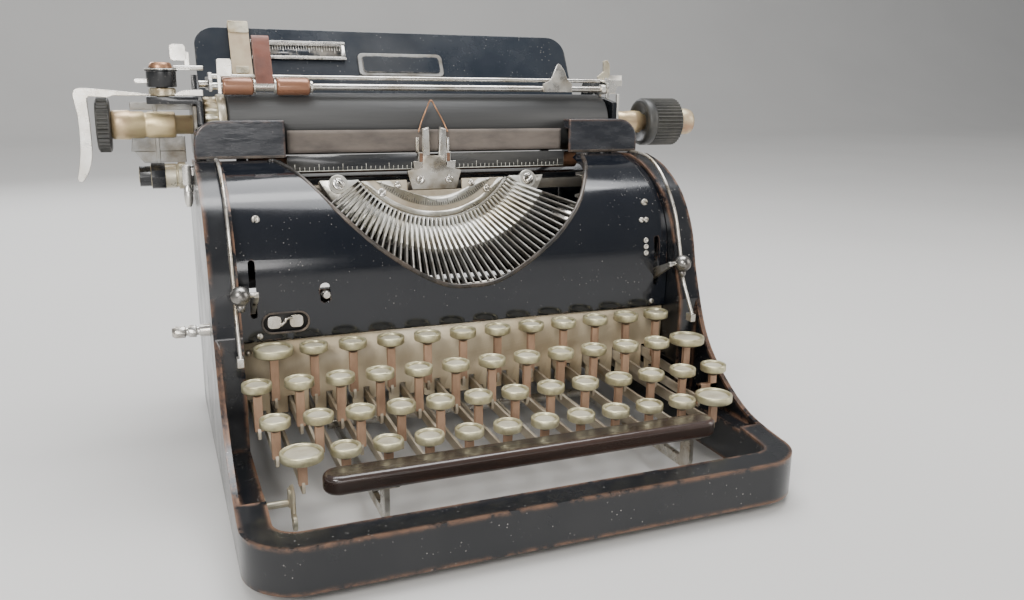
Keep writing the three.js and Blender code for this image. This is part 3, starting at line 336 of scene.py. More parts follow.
def rounded(x0, x1, y0, y1, radius, steps=8):
    """The outline of a rectangle with round corners."""
    points = []
    for cx, cy, start in ((x1 - radius, y0 + radius, -90), (x1 - radius, y1 - radius, 0),
                          (x0 + radius, y1 - radius, 90), (x0 + radius, y0 + radius, 180)):
        for i in range(steps + 1):
            angle = math.radians(start + 90 * i / steps)
            points.append((cx + radius * math.cos(angle), cy + radius * math.sin(angle)))
    return points


def curve_through(points, steps):
    """A smooth run of places through the given ones (Catmull-Rom), in any number of directions."""
    ends = [points[0], *points, points[-1]]
    run = []
    for p0, p1, p2, p3 in zip(ends, ends[1:], ends[2:], ends[3:]):
        for i in range(steps):
            t = i / steps
            run.append(
                tuple(
                    0.5 * (2 * b + (c - a) * t + (2 * a - 5 * b + 4 * c - d) * t * t
                           + (3 * b - a - 3 * c + d) * t ** 3)
                    for a, b, c, d in zip(p0, p1, p2, p3)
                )
            )
    run.append(tuple(points[-1]))
    return run


def tube(form, points, radius, sides=10, steps=6, flat=1.0):
    """Adds a bent wire through places in mm; flat below 1 squeezes its section."""
    line = [mm(*p) for p in curve_through(points, steps)]
    side = None
    rings = []
    for i, centre in enumerate(line):
        along = (line[min(i + 1, len(line) - 1)] - line[max(i - 1, 0)]).normalized()
        if side is None:
            side = along.orthogonal().normalized()
        else:
            side = (side - along * side.dot(along)).normalized()
        other = along.cross(side)
        rings.append(
            [
                form.verts.new(
                    centre + radius / 1000 * (side * math.cos(2 * math.pi * k / sides)
                                              + flat * other * math.sin(2 * math.pi * k / sides))
                )
                for k in range(sides)
            ]
        )
    for first, second in zip(rings, rings[1:]):
        for k in range(sides):
            j = (k + 1) % sides
            form.faces.new((first[k], first[j], second[j], second[k]))
    form.faces.new(list(reversed(rings[0])))
    form.faces.new(rings[-1])


def piece(name, form, body, material, bevel=0.3, segments=2, stands_for=()):
    """Makes the object from its form, rounds its edges over 35 degrees and puts it on its body."""
    bmesh.ops.recalc_face_normals(form, faces=form.faces)
    mesh = bpy.data.meshes.new(name)
    form.to_mesh(mesh)
    form.free()
    mesh.polygons.foreach_set("use_smooth", [True] * len(mesh.polygons))
    made = bpy.data.objects.new(name, mesh)
    bpy.context.scene.collection.objects.link(made)
    mesh.materials.append(material)
    if bevel:
        edge = made.modifiers.new("edge", "BEVEL")
        edge.width = bevel / 1000
        edge.segments = segments
        edge.limit_method = "ANGLE"
        edge.angle_limit = math.radians(35)
        edge.harden_normals = True
    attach(made, body)
    if stands_for:
        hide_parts(*stands_for)
    return made


def carved(form, other, operation="DIFFERENCE"):
    """The first form cut by, or joined to, the second."""
    pair = []
    for source in (form, other):
        bmesh.ops.recalc_face_normals(source, faces=source.faces)
        mesh = bpy.data.meshes.new("carving")
        source.to_mesh(mesh)
        source.free()
        made = bpy.data.objects.new("carving", mesh)
        bpy.context.scene.collection.objects.link(made)
        pair.append(made)
    step = pair[0].modifiers.new("carve", "BOOLEAN")
    step.operation = operation
    step.object = pair[1]
    step.solver = "EXACT"
    bpy.context.view_layer.update()
    result = bmesh.new()
    result.from_object(pair[0], bpy.context.evaluated_depsgraph_get())
    for made in pair:
        mesh = made.data
        bpy.data.objects.remove(made)
        bpy.data.meshes.remove(mesh)
    return result


HALF_WIDTH = 1000 * base_high[0]
DEPTH = 1000 * (base_high[1] - base_low[1])
BAR_HEIGHT, BAR_DEPTH, CHEEK = 20, 14, 13
INNER = HALF_WIDTH - CHEEK
CHEEK_EDGE = [(14, 19), (49, 24.4), (76, 39.5), (93.5, 58), (106, 88), (113, 112), (126, 131.5),
              (146, 144.5), (166, 150)]

ring = bmesh.new()
prism(ring, rounded(-HALF_WIDTH, HALF_WIDTH, 0, DEPTH, 24, 12), 0, BAR_HEIGHT, "Z")
floor_hole = bmesh.new()
prism(floor_hole, rounded(-INNER, INNER, BAR_DEPTH, DEPTH - BAR_DEPTH, 10), -1, BAR_HEIGHT + 1, "Z")
casting = carved(ring, floor_hole)
for side in (-1, 1):
    cheek = bmesh.new()
    profile = curve_through(CHEEK_EDGE, 5) + [(187, 150), (187, 128), (DEPTH, 128), (DEPTH, 0.5),
                                              (24, 0.5)]
    prism(cheek, profile, *sorted((side * INNER, side * HALF_WIDTH)), "X")
    corner = bmesh.new()
    prism(corner, rounded(-HALF_WIDTH, HALF_WIDTH, 0, DEPTH, 24, 12), -1, 200, "Z")
    casting = carved(casting, carved(cheek, corner, "INTERSECT"), "UNION")
bmesh.ops.remove_doubles(casting, verts=casting.verts, dist=2e-5)
bmesh.ops.dissolve_limit(casting, angle_limit=math.radians(1), verts=casting.verts, edges=casting.edges)


def softened(form, width, segments):
    """The form with its edges rounded, ready for machined cuts whose own edges stay sharp."""
    bmesh.ops.recalc_face_normals(form, faces=form.faces)
    mesh = bpy.data.meshes.new("softening")
    form.to_mesh(mesh)
    form.free()
    made = bpy.data.objects.new("softening", mesh)
    bpy.context.scene.collection.objects.link(made)
    edge = made.modifiers.new("edge", "BEVEL")
    edge.width = width / 1000
    edge.segments = segments
    edge.limit_method = "ANGLE"
    edge.angle_limit = math.radians(40)
    bpy.context.view_layer.update()
    result = bmesh.new()
    result.from_object(made, bpy.context.evaluated_depsgraph_get())
    bpy.data.objects.remove(made)
    bpy.data.meshes.remove(mesh)
    return result


casting = softened(casting, 3.6, 5)
FOOT_PLACES = [(side * (HALF_WIDTH - 18), y) for side in (-1, 1) for y in (22, 248)]
extra = bmesh.new()
block(extra, -INNER - 1, INNER + 1, DEPTH - BAR_DEPTH, DEPTH - BAR_DEPTH + 6, BAR_HEIGHT - 1, 60)
casting = carved(casting, extra, "UNION")
for x, y in FOOT_PLACES:
    lug = bmesh.new()
    lathe(lug, [(0, 0.4), (14, 0.4), (14, 5.2), (13.2, 6), (0, 6)], (x, y, 0), "Z", 32)
    casting = carved(casting, lug, "UNION")
for x, y in FOOT_PLACES:
    seat = bmesh.new()
    lathe(seat, [(0, -1), (11.35, -1), (11.35, 2.35), (0, 2.35)], (x, y, 0), "Z", 32)
    casting = carved(casting, seat)
for side in (-1, 1):
    relief = bmesh.new()
    block(relief, *sorted((side * (INNER - 1), side * (HALF_WIDTH - 2.6))), 40, 101, BAR_HEIGHT, 90)
    casting = carved(casting, relief)
    pocket = bmesh.new()
    prism(pocket, rounded(128, 182, 90, 124, 5), *sorted((side * (INNER - 1), side * (HALF_WIDTH - 4))),
          "X")
    casting = carved(casting, pocket)
rod_hole = bmesh.new()
rod(rod_hole, (-HALF_WIDTH - 1, 130, 73), (-INNER + 1, 130, 73), 3.5)
casting = carved(casting, rod_hole)
cast_piece = piece("frame_casting", casting, "frame", enamel, bevel=0,
                   stands_for=["main_frame"])
cast_piece.data.set_sharp_from_angle(angle=math.radians(38))
flats = cast_piece.modifiers.new("flats", "WEIGHTED_NORMAL")
flats.keep_sharp = True

# ---- Feet -----------------------------------------------------------------------------------------
# Four rubber pads pressed into lugs under the corners of the casting, hardened and dusty with age.


def dress(names, material, bevel=0.25, segments=2):
    """Finishes pieces that keep their CAD form: welds their facets and takes the edges off."""
    for name in names:
        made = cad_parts[name]
        made.data.materials.clear()
        made.data.materials.append(material)
        made.data.polygons.foreach_set("use_smooth", [True] * len(made.data.polygons))
        weld = made.modifiers.new("weld", "WELD")
        weld.merge_threshold = 1e-5
        edge = made.modifiers.new("edge", "BEVEL")
        edge.width = bevel / 1000
        edge.segments = segments
        edge.limit_method = "ANGLE"
        edge.angle_limit = math.radians(28)
        edge.harden_normals = True


old_rubber = aged("old_rubber", (0.02, 0.019, 0.018), (0.06, 0.055, 0.05), 40, (0.65, 0.9), 0.0, 0.3)
dress(["foot_front_left", "foot_front_right", "foot_rear_left", "foot_rear_right"], old_rubber, 0.5)

# ---- Front cover ----------------------------------------------------------------------------------
# A sheet of steel bent over the shoulders of the cheeks, cut away in a deep U for the type basket,
# enamelled gloss black. An oval window, a stub lever and two slotted levers come through it.
sheet_enamel = aged("cover_enamel", (0.003, 0.0045, 0.008), (0.008, 0.009, 0.012), 9, (0.08, 0.22), 0.0,
                    0.05,
                    worn=(0.2, 0.12, 0.08), wear=0.25, reach=0.0012, specks=0.35, coat=0.2)
COVER_HALF = 116.65
COVER_LINE = [(117, 68.6), (116.5, 88), (118, 108), (125, 124), (137, 136.5), (153, 145), (176, 149.65)]
cover_outer = curve_through(COVER_LINE, 8)
cover_inner = []
for here, following in zip(cover_outer, cover_outer[1:] + cover_outer[-1:]):
    slope = Vector((following[0] - here[0], following[1] - here[1]))
    slope = slope.normalized() if slope.length else Vector((1, 0))
    cover_inner.append((here[0] + 2 * slope.y, here[1] - 2 * slope.x))
cover_inner = [(max(y, 118.2), z) for y, z in cover_inner]
cover = bmesh.new()
prism(cover, cover_outer + cover_inner[::-1], -COVER_HALF, COVER_HALF, "X")

OPENING_HALF, OPENING_LOW = 86, 88
opening_line = curve_through(
    [(-OPENING_HALF - 8, 151), (-OPENING_HALF, 149), (-OPENING_HALF * 0.62, 114.5),
     (-OPENING_HALF * 0.24, OPENING_LOW + 4),
     (0, OPENING_LOW), (OPENING_HALF * 0.24, OPENING_LOW + 4), (OPENING_HALF * 0.62, 114.5),
     (OPENING_HALF, 149),
     (OPENING_HALF + 8, 151)], 10)
cutter = bmesh.new()
prism(cutter, opening_line + [(OPENING_HALF + 8, 200), (-OPENING_HALF - 8, 200)], 100, 200, "Y")
cover = carved(cover, cutter)
WINDOW = (-106, -85, 72.6, 81.4)
LEVER_SLOT_X = 110
for outline in (rounded(*WINDOW, 4.3), rounded(-78.5, -73.5, 85, 95, 2.4),
                rounded(-LEVER_SLOT_X - 1.6, -LEVER_SLOT_X + 1.6, 80, 108, 1.5),
                rounded(LEVER_SLOT_X - 1.6, LEVER_SLOT_X + 1.6, 80, 108, 1.5)):
    cutter = bmesh.new()
    prism(cutter, outline, 100, 125, "Y")
    cover = carved(cover, cutter)
bmesh.ops.remove_doubles(cover, verts=cover.verts, dist=2e-5)
bmesh.ops.dissolve_limit(cover, angle_limit=math.radians(0.5), verts=cover.verts, edges=cover.edges)
piece("cover_sheet", cover, "frame", sheet_enamel, bevel=0.7, segments=3,
      stands_for=["front_cover"])

# The rolled bead that stiffens the edge of the U, rubbed bright where fingers reach into the basket.


def on_cover(x, z, out=0.0):
    """The place on the outside of the cover at this height, stood off by out."""
    for (y0, z0), (y1, z1) in zip(cover_outer, cover_outer[1:]):
        if z0 <= z <= z1:
            t = (z - z0) / (z1 - z0)
            return (x, y0 + t * (y1 - y0) - out, z)
    return (x, cover_outer[-1][0] - out, z)


beaded = aged("worn_bead", (0.03, 0.028, 0.026), (0.09, 0.07, 0.055), 50, (0.2, 0.45), 0.3, 0.1,
              worn=(0.34, 0.26, 0.2), wear=0.5, reach=0.001)
bead = bmesh.new()
bead_line = [on_cover(x, min(z, 149), -0.8) for x, z in opening_line[4:-4:4]]
tube(bead, bead_line, 1.3, sides=10, steps=3)
piece("cover_bead", bead, "frame", beaded, bevel=0)

# ---- Rear panel and rails -------------------------------------------------------------------------
# A flat enamelled panel closes the back; two machined steel rails carry the rolling carriage.
dress(["rear_panel"], sheet_enamel, 0.4)
rail_steel = aged("rail_steel", (0.5, 0.48, 0.44), (0.2, 0.16, 0.11), 30, (0.25, 0.5), 0.9, 0.15,
                  streak=(0.15, 1, 1))
dress(["carriage_rail_front", "carriage_rail_rear"], rail_steel, 0.5)

# ---- Window and stub of the cover -----------------------------------------------------------------
# Behind the oval window are two nickel pointers of the margin stops on a dark plate, and a small
# nickel stub lever beside it changes the ribbon's colour band.
nickel = aged("aged_nickel", (0.62, 0.6, 0.55), (0.3, 0.25, 0.18), 70, (0.22, 0.5), 0.92, 0.12,
              worn=(0.3, 0.22, 0.15), wear=0.2, reach=0.0006)
bright_nickel = aged("bright_nickel", (0.72, 0.7, 0.66), (0.45, 0.4, 0.32), 45, (0.16, 0.36), 0.95, 0.08)
window_bits = bmesh.new()
prism(window_bits, rounded(-104, -97.5, 73.8, 80.2, 2.2), 117.4, 118.8, "Y")
prism(window_bits, rounded(-93.5, -87, 73.8, 80.2, 2.2), 117.4, 118.8, "Y")
tube(window_bits, [(-98, 117.2, 75.2), (-96, 116.9, 77), (-95, 117, 78.6), (-92, 117.2, 79)], 0.8)
piece("window_pointers", window_bits, "frame", bright_nickel, bevel=0.3)
window_rim = bmesh.new()
prism(window_rim, rounded(WINDOW[0] - 1, WINDOW[1] + 1, WINDOW[2] - 1, WINDOW[3] + 1, 5.2), 115.9, 117,
      "Y")
rim_hole = bmesh.new()
prism(rim_hole, rounded(*WINDOW, 4.3), 114, 119, "Y")
piece("window_rim", carved(window_rim, rim_hole), "frame", beaded, bevel=0.3)
window_back = bmesh.new()
block(window_back, -108, -83, 119.2, 119.45, 71, 83)
piece("window_backing", window_back, "frame", old_rubber, bevel=0)
stub = bmesh.new()
rod(stub, (-76, 121, 89), (-76.4, 112.6, 90.2), 1.5)
lathe(stub, [(0, -2.2), (1.6, -2.2), (2.2, -1), (2.2, 1), (1.6, 2), (0, 2)], (-76.4, 112.2, 90.3), "Y",
      16)
piece("colour_stub", stub, "frame", bright_nickel, bevel=0.2)

# ---- Screws ---------------------------------------------------------------------------------------
# Slotted cheese-head screws of nickelled steel hold the cover, guards and plates.


def screw(form, centre, radius, height, turn=30):
    """A slotted head whose face looks to the front, its slit turned by so many degrees."""
    head = bmesh.new()
    lathe(head, [(0, 0), (radius, 0), (radius, -height * 0.6), (radius * 0.82, -height), (0, -height)],
          (0, 0, 0), "Y", 24)
    slit = bmesh.new()
    thick = radius * 0.16
    spread = [(-radius * 1.2, -thick), (radius * 1.2, -thick), (radius * 1.2, thick),
              (-radius * 1.2, thick)]
    angle = math.radians(turn)
    spread = [(u * math.cos(angle) - v * math.sin(angle),
               u * math.sin(angle) + v * math.cos(angle)) for u, v in spread]
    prism(slit, spread, -height * 1.4, -height * 0.5, "Y")
    made = carved(head, slit)
    bmesh.ops.translate(made, verts=made.verts, vec=mm(*centre) - mm(0, 0, 0))
    mesh = bpy.data.meshes.new("screw")
    made.to_mesh(mesh)
    made.free()
    form.from_mesh(mesh)
    bpy.data.meshes.remove(mesh)


cover_screws = bmesh.new()
for x, z, radius in ((-106, 126, 2.0), (106, 126, 2.0), (101.5, 117, 1.5), (104.5, 117, 1.5),
                     (-108, 71, 1.5), (108, 71, 1.5)):
    place = on_cover(x, z)
    screw(cover_screws, place, radius, 1.0, turn=25 + 3 * x)
piece("cover_screws", cover_screws, "frame", nickel, bevel=0)
ring_dots = bmesh.new()
for z in (99, 102.5, 106):
    x, y, _ = on_cover(103, z)
    lathe(ring_dots, [(0, 0), (1.5, 0), (1.5, -0.5), (1.1, -0.7), (0.8, -0.2), (0, -0.2)], (x, y, z), "Y",
          16)
piece("register_marks", ring_dots, "frame", nickel, bevel=0)

# ---- Ribbon covers --------------------------------------------------------------------------------
# Two pressed caps lie over the spool wells beside the platen. Their enamel has wrinkled and the
# paint is gone along the lower edges.
wrinkled = aged("wrinkled_enamel", (0.016, 0.018, 0.023), (0.05, 0.052, 0.058), 60, (0.12, 0.42), 0.0,
                0.5,
                worn=COPPER_BROWN, wear=0.6, reach=0.0022, specks=0.6, grain=260, coat=0.3,
                streak=(0.5, 1, 1.6))
CAP = {"front": 178, "back": 186.8, "inner": 83, "outer": 129, "low": 150.35, "high": 170}
for side, name in ((-1, "left"), (1, "right")):
    outline = [(CAP["inner"], CAP["low"]), (CAP["outer"], CAP["low"])]
    for i in range(9):
        angle = math.radians(90 * i / 8)
        outline.append((CAP["outer"] - 12 + 12 * math.cos(angle),
                        CAP["high"] - 12 + 12 * math.sin(angle)))
    outline.append((CAP["inner"], CAP["high"]))
    cap = bmesh.new()
    prism(cap, [(side * x, z) for x, z in outline], CAP["front"], CAP["back"], "Y")
    hollow = bmesh.new()
    block(hollow, *sorted((side * (CAP["inner"] - 2), side * (CAP["outer"] - 2))), CAP["front"] + 1.8,
          CAP["back"] + 1,
          CAP["low"] - 1, CAP["high"] - 6)
    cap = carved(cap, hollow)
    piece("cap_" + name, cap, "frame", wrinkled, bevel=1.5, segments=4,
          stands_for=["ribbon_cover_" + name])
    lip = bmesh.new()
    block(lip, *sorted((side * (CAP["inner"] + 1), side * (CAP["outer"] - 1))), 177.6, 178.4, 150.6, 152)
    piece("cap_lip_" + name, lip, "frame", beaded, bevel=0.25)

# ---- Keys -----------------------------------------------------------------------------------------
# Fifty ringed buttons in four rows. A pale brass ring is crimped over a blank cream disc and a cup,
# riveted to a flat coppery stem that stands on a nickelled steel lever running back under the type
# basket to the row's fulcrum bar.
PITCH, BACK_Y = 19, 232
SMALL_RADIUS, BIG_RADIUS = 6.8, 9.4
STEM_HALF, LEVER_HALF, STEM_CRANK = 2, 0.75, 8.4
ROWS = [
    {"x": -103.1, "count": 12, "y": 108.1, "top": 67.8, "lever": 40, "fulcrum": 48},
    {"x": -113.5, "count": 13, "y": 88.7, "top": 57.4, "lever": 33, "fulcrum": 39.5},
    {"x": -108.4, "count": 13, "y": 70.0, "top": 46.6, "lever": 26.5, "fulcrum": 31},
    {"x": -100.0, "count": 12, "y": 52.9, "top": 36.8, "lever": 20, "fulcrum": 22.5},
]
OWN_BODY = {
    (0, 0): "margin_key", (1, 12): "tabulator_key", (3, 0): "shift_key_left", (3, 11): "shift_key_right",
    (2, 0): "shift_lock_key", (1, 5): "letter_key_a", (2, 6): "letter_key_b", (1, 7): "letter_key_c",
}
WIDE = {"margin_key", "tabulator_key", "shift_key_left", "shift_key_right"}

ring_brass = aged("ring_brass", (0.56, 0.52, 0.34), (0.34, 0.3, 0.18), 120, (0.3, 0.5), 0.7, 0.12,
                  worn=(0.66, 0.62, 0.5), worn_metal=0.9, wear=0.4, reach=0.0005)
key_face = aged("key_face", (0.44, 0.41, 0.32), (0.29, 0.26, 0.19), 55, (0.3, 0.5), 0.0, 0.05, coat=0.15)
key_cup = aged("key_cup", (0.22, 0.18, 0.12), (0.1, 0.08, 0.06), 120, (0.35, 0.6), 0.7, 0.2)
stem_copper = aged("stem_copper", (0.52, 0.34, 0.23), (0.32, 0.2, 0.13), 90, (0.35, 0.6), 0.6, 0.2,
                   streak=(1, 1, 0.35))
lever_nickel = aged("lever_nickel", (0.6, 0.54, 0.43), (0.32, 0.25, 0.17), 60, (0.35, 0.6), 0.5, 0.2,
                    worn=(0.34, 0.22, 0.14), wear=0.3, reach=0.0005, streak=(1, 0.3, 1))


def key_ring(form, x, y, top, radius):
    """The crimped ring: a rolled lip round the face, a straight wall and a turned-in foot."""
    lathe(form, [(radius - 1.5, -1.0), (radius - 1.3, -0.2), (radius - 0.7, 0), (radius - 0.15, -0.25),
                 (radius, -0.7),
                 (radius, -3.5), (radius - 0.3, -3.9), (radius - 1.1, -4.0), (radius - 1.5, -3.5),
                 (radius - 1.5, -1.0)], (x, y, top), "Z", 32)


def key_disc(form, x, y, top, radius):
    lathe(form, [(0, -3.4), (radius - 1.4, -3.4), (radius - 1.4, -1.5), (radius - 1.9, -1.5),
                 (radius - 2.2, -1.0), (radius * 0.4, -0.85),
                 (0, -0.82)], (x, y, top), "Z", 28)


def key_under(form, x, y, top, radius):
    lathe(form, [(0, -3.6), (radius - 1.3, -3.7), (radius - 2.0, -4.7), (2.6, -5.4), (1.9, -6.4),
                 (0, -6.5)],
          (x, y, top), "Z", 20)


def key_stem(form, row, x, inner):
    high, low = row["top"] - 4.6, row["lever"] - 2
    y = row["y"]
    if abs(x - inner) < 0.1:
        block(form, x - STEM_HALF, x + STEM_HALF, y - 1.2, y - 0.5, low + 3, high)
        block(form, x - STEM_HALF, x + STEM_HALF, y + 0.5, y + 1.2, low + 3, high)
        block(form, x - LEVER_HALF, x + LEVER_HALF, y - 1.1, y + 1.1, low, high)
    else:
        block(form, x - STEM_HALF, x + STEM_HALF, y - 1.2, y + 1.2, 32, high)
        block(form, min(x - STEM_HALF, inner - 1), max(x + STEM_HALF, inner + 1), y - 1.2, y + 1.2, 32, 36)
        block(form, inner - 1, inner + 1, y - 1.2, y + 1.2, low, 36)


def key_lever(form, row, x):
    """A stamped bar, waisted behind the stem, that runs back to the row's fulcrum bar."""
    y, low, length = row["y"], row["lever"], BACK_Y - row["y"]
    rise = (row["fulcrum"] - low) / length
    halves = ((-1.6, 1.4), (-1, 2.9), (6, 3), (12, 2.5), (length - 14, 2.6), (length, 2.9))
    outline = [(y + along, low + rise * along - half) for along, half in halves]
    outline += [(y + along, low + rise * along + half) for along, half in reversed(halves)]
    prism(form, outline, x - LEVER_HALF, x + LEVER_HALF, "X")


groups = {}
for r, row in enumerate(ROWS):
    for at in range(row["count"]):
        groups.setdefault(OWN_BODY.get((r, at), "key_row_%d" % (r + 1)), []).append((r, at))
for body, members in groups.items():
    rings, discs, unders, stems, levers = (bmesh.new() for _ in range(5))
    for r, at in members:
        row = ROWS[r]
        x = row["x"] + PITCH * at
        inner = x - math.copysign(STEM_CRANK, x) if abs(x) + STEM_HALF > INNER - 0.35 else x
        radius = BIG_RADIUS if body in WIDE else SMALL_RADIUS
        key_ring(rings, x, row["y"], row["top"], radius)
        key_disc(discs, x, row["y"], row["top"], radius)
        key_under(unders, x, row["y"], row["top"], radius)
        key_stem(stems, row, x, inner)
        key_lever(levers, row, inner)
    row = ROWS[members[0][0]]
    if body.startswith("key_row"):
        rod(levers, (-INNER + 0.4, BACK_Y, row["fulcrum"]), (INNER - 0.4, BACK_Y, row["fulcrum"]), 2.4)
    piece(body + "_rings", rings, body, ring_brass, bevel=0)
    piece(body + "_faces", discs, body, key_face, bevel=0)
    piece(body + "_cups", unders, body, key_cup, bevel=0)
    piece(body + "_stems", stems, body, stem_copper, bevel=0.2, segments=1)
    piece(body + "_levers", levers, body, lever_nickel, bevel=0.15, segments=1,
          stands_for=[body])

# ---- Key comb -------------------------------------------------------------------------------------
# A cream-painted steel plate under the cover, slotted to guide every lever, its paint worn thin.
comb_paint = aged("comb_paint", (0.56, 0.48, 0.34), (0.4, 0.31, 0.19), 26, (0.35, 0.6), 0.0, 0.3,
                  worn=(0.24, 0.15, 0.09), wear=0.35, reach=0.0009, streak=(1, 1, 0.4))
dress(["key_comb"], comb_paint, 0.2, 1)
comb_rivets = bmesh.new()
for x in (-113.5, -60.5, 0.5, 60.5, 113.5):
    lathe(comb_rivets, [(0, 0), (1.7, 0), (1.5, -0.7), (0.9, -1.1), (0, -1.2)], (x, 119.5, 62.5), "Y", 16)
piece("comb_rivets", comb_rivets, "frame", nickel, bevel=0)

# ---- Space bar ------------------------------------------------------------------------------------
# A lathe-rounded bar of black-lacquered wood on two bent steel arms, its front edge rubbed to the
# brown wood by thumbs.
lacquer = aged("black_lacquer", (0.012, 0.009, 0.008), (0.04, 0.024, 0.018), 22, (0.18, 0.4), 0.0, 0.3,
               worn=(0.2, 0.075, 0.04), worn_metal=0.0, wear=0.75, reach=0.0032, coat=0.4,
               streak=(0.2, 1, 1))
BAR = {"left": -94, "right": 98, "front": 31, "back": 45, "low": 23, "high": 31.5}
wooden = bmesh.new()
prism(wooden, rounded(BAR["left"], BAR["right"], BAR["front"], BAR["back"], 6.8, 10), BAR["low"],
      BAR["high"], "Z")
piece("space_bar_wood", wooden, "space_bar", lacquer, bevel=2.4, segments=5,
      stands_for=["space_bar"])
arms = bmesh.new()
for x in (-67.8, 84.2):
    prism(arms, curve_through([(34, 23.4), (33.6, 16), (34, 9.5), (38, 6.2), (44, 5.6)], 5)
          + [(150, 5.6), (150, 10.5), (44, 11), (42, 12), (42, 23.4)], x - 1.2, x + 1.2, "X")
    block(arms, x - 6, x + 6, 34.5, 42, 21.6, 23.2)
rod(arms, (-71.8, 150, 8.5), (88.2, 150, 8.5), 2.5)
piece("space_bar_arms", arms, "space_bar", nickel, bevel=0.3)

# ---- Type basket ----------------------------------------------------------------------------------
# A slotted half ring of nickelled steel holds forty-four type bars on one wire. It leans back, and
# every bar swings up through the guide to the same printing point on the platen.
PRINT_POINT, LEAN = (0, 188.5, 167), math.radians(17)
BARS, FAN, PIVOT = 44, math.radians(54), 62
BAR_LENGTH, REST_SWING = 54.2, math.radians(138)
OWN_BARS = {17: "typebar_a", 21: "typebar_b", 26: "typebar_c"}


def leaned(form):
    """Takes a form drawn round the printing point (x across, y back, z up) and leans it to its place."""
    origin = mm(0, 0, 0)
    form.transform(
        Matrix.Translation(mm(*PRINT_POINT)) @ Matrix.Rotation(-LEAN, 4,
            "X") @ Matrix.Translation(-origin))
    return form


def fan_angle(bar):
    return -FAN + 2 * FAN * bar / (BARS - 1)


def fanned(form, bar):
    origin = mm(0, 0, 0)
    form.transform(Matrix.Translation(origin) @ Matrix.Rotation(-fan_angle(bar), 4,
        "Y") @ Matrix.Translation(-origin))
    return form


def joined(forms):
    whole = bmesh.new()
    for form in forms:
        mesh = bpy.data.meshes.new("part")
        form.to_mesh(mesh)
        form.free()
        whole.from_mesh(mesh)
        bpy.data.meshes.remove(mesh)
    return whole


segment_steel = aged("segment_steel", (0.66, 0.65, 0.6), (0.4, 0.36, 0.28), 50, (0.25, 0.5), 0.75, 0.2,
                     worn=(0.8, 0.79, 0.74), worn_metal=0.9, wear=0.5, reach=0.0005)
dress(["type_segment"], segment_steel, 0.15, 1)
plate_paint = aged("plate_paint", (0.5, 0.44, 0.34), (0.34, 0.28, 0.2), 40, (0.3, 0.55), 0.35, 0.25,
                   worn=(0.3, 0.2, 0.13), wear=0.2, reach=0.0006)
dress(["segment_plate"], plate_paint, 0.3, 2)

# The segment's ends are rounded ears held by big screws; its plate carries a pale graduated arc.
ears = bmesh.new()
for side in (-1, 1):
    lathe(ears, [(0, 0.5), (5.4, 0.5), (5.4, -1.6), (5.0, -2.0), (0, -2.0)], (side * 56, 0, -33.2), "Y",
          28)
piece("segment_ears", leaned(ears), "frame", segment_steel, bevel=0.2)
arc = bmesh.new()
for low, high, radius_in, radius_out, front, back in ((-60, 60, 41, 46.5, 2.0, 2.5),
                                                      (-66, 66, 49.6, 52.4, 1.95, 2.5)):
    steps = 48
    span = [math.radians(low + (high - low) * i / steps) for i in range(steps + 1)]
    line = [(radius_out * math.sin(a), -radius_out * math.cos(a)) for a in span]
    line += [(radius_in * math.sin(a), -radius_in * math.cos(a)) for a in reversed(span)]
    line = [(u, min(v, -31.4)) for u, v in line]
    prism(arc, line, front, back, "Y")
bmesh.ops.remove_doubles(arc, verts=arc.verts, dist=1e-6)
piece("graduated_arc", leaned(arc), "frame", segment_steel, bevel=0)
ticks = bmesh.new()
for i in range(-27, 28):
    angle = math.radians(i * 1.7)
    long = 3.2 if i % 5 == 0 else 1.8
    u, v = math.sin(angle), -math.cos(angle)
    corners = []
    for radius, across in ((46.2, -0.16), (46.2, 0.16), (46.2 - long, 0.16), (46.2 - long, -0.16)):
        corners.append((u * radius - v * across, v * radius + u * across))
    if max(c[1] for c in corners) < -31.6:
        prism(ticks, corners, 1.92, 2.05, "Y")
piece("arc_ticks", leaned(ticks), "frame", old_rubber, bevel=0)
basket_screws = bmesh.new()
for u, v, w, radius, turn in ((-56, -33.2, -2.0, 3.4, 130), (56, -33.2, -2.0, 3.4, 45),
                              (-31.5, -38, 2.4, 2.6, 40),
                              (31.5, -37.5, 2.4, 2.6, 140), (-22, -33.8, 2.4, 2.0, 10),
                              (22, -33.8, 2.4, 2.0, 100)):
    screw(basket_screws, (u, w, v), radius, 1.1, turn=turn)
piece("basket_screws", leaned(basket_screws), "frame", bright_nickel, bevel=0)

# ---- Type bars ------------------------------------------------------------------------------------
# Stamped steel bars, blued and dusty, each with a small hard type slug brazed on its head.
bar_steel = aged("bar_steel", (0.26, 0.25, 0.23), (0.1, 0.085, 0.07), 70, (0.3, 0.55), 0.85, 0.2,
                 worn=(0.5, 0.48, 0.43), worn_metal=0.9, wear=0.5, reach=0.0003)
slug_steel = aged("slug_steel", (0.55, 0.52, 0.46), (0.22, 0.19, 0.15), 160, (0.35, 0.6), 0.8, 0.3)
dress(["typebar_bank", "typebar_a", "typebar_b", "typebar_c"], bar_steel, 0.12, 1)
out = (-math.sin(REST_SWING), math.cos(REST_SWING))
side_way = (-out[1] * 1.8, out[0] * 1.8)


def at_bar(along, across):
    return (out[0] * along + side_way[0] * across, -PIVOT + out[1] * along + side_way[1] * across)


TIP = BAR_LENGTH


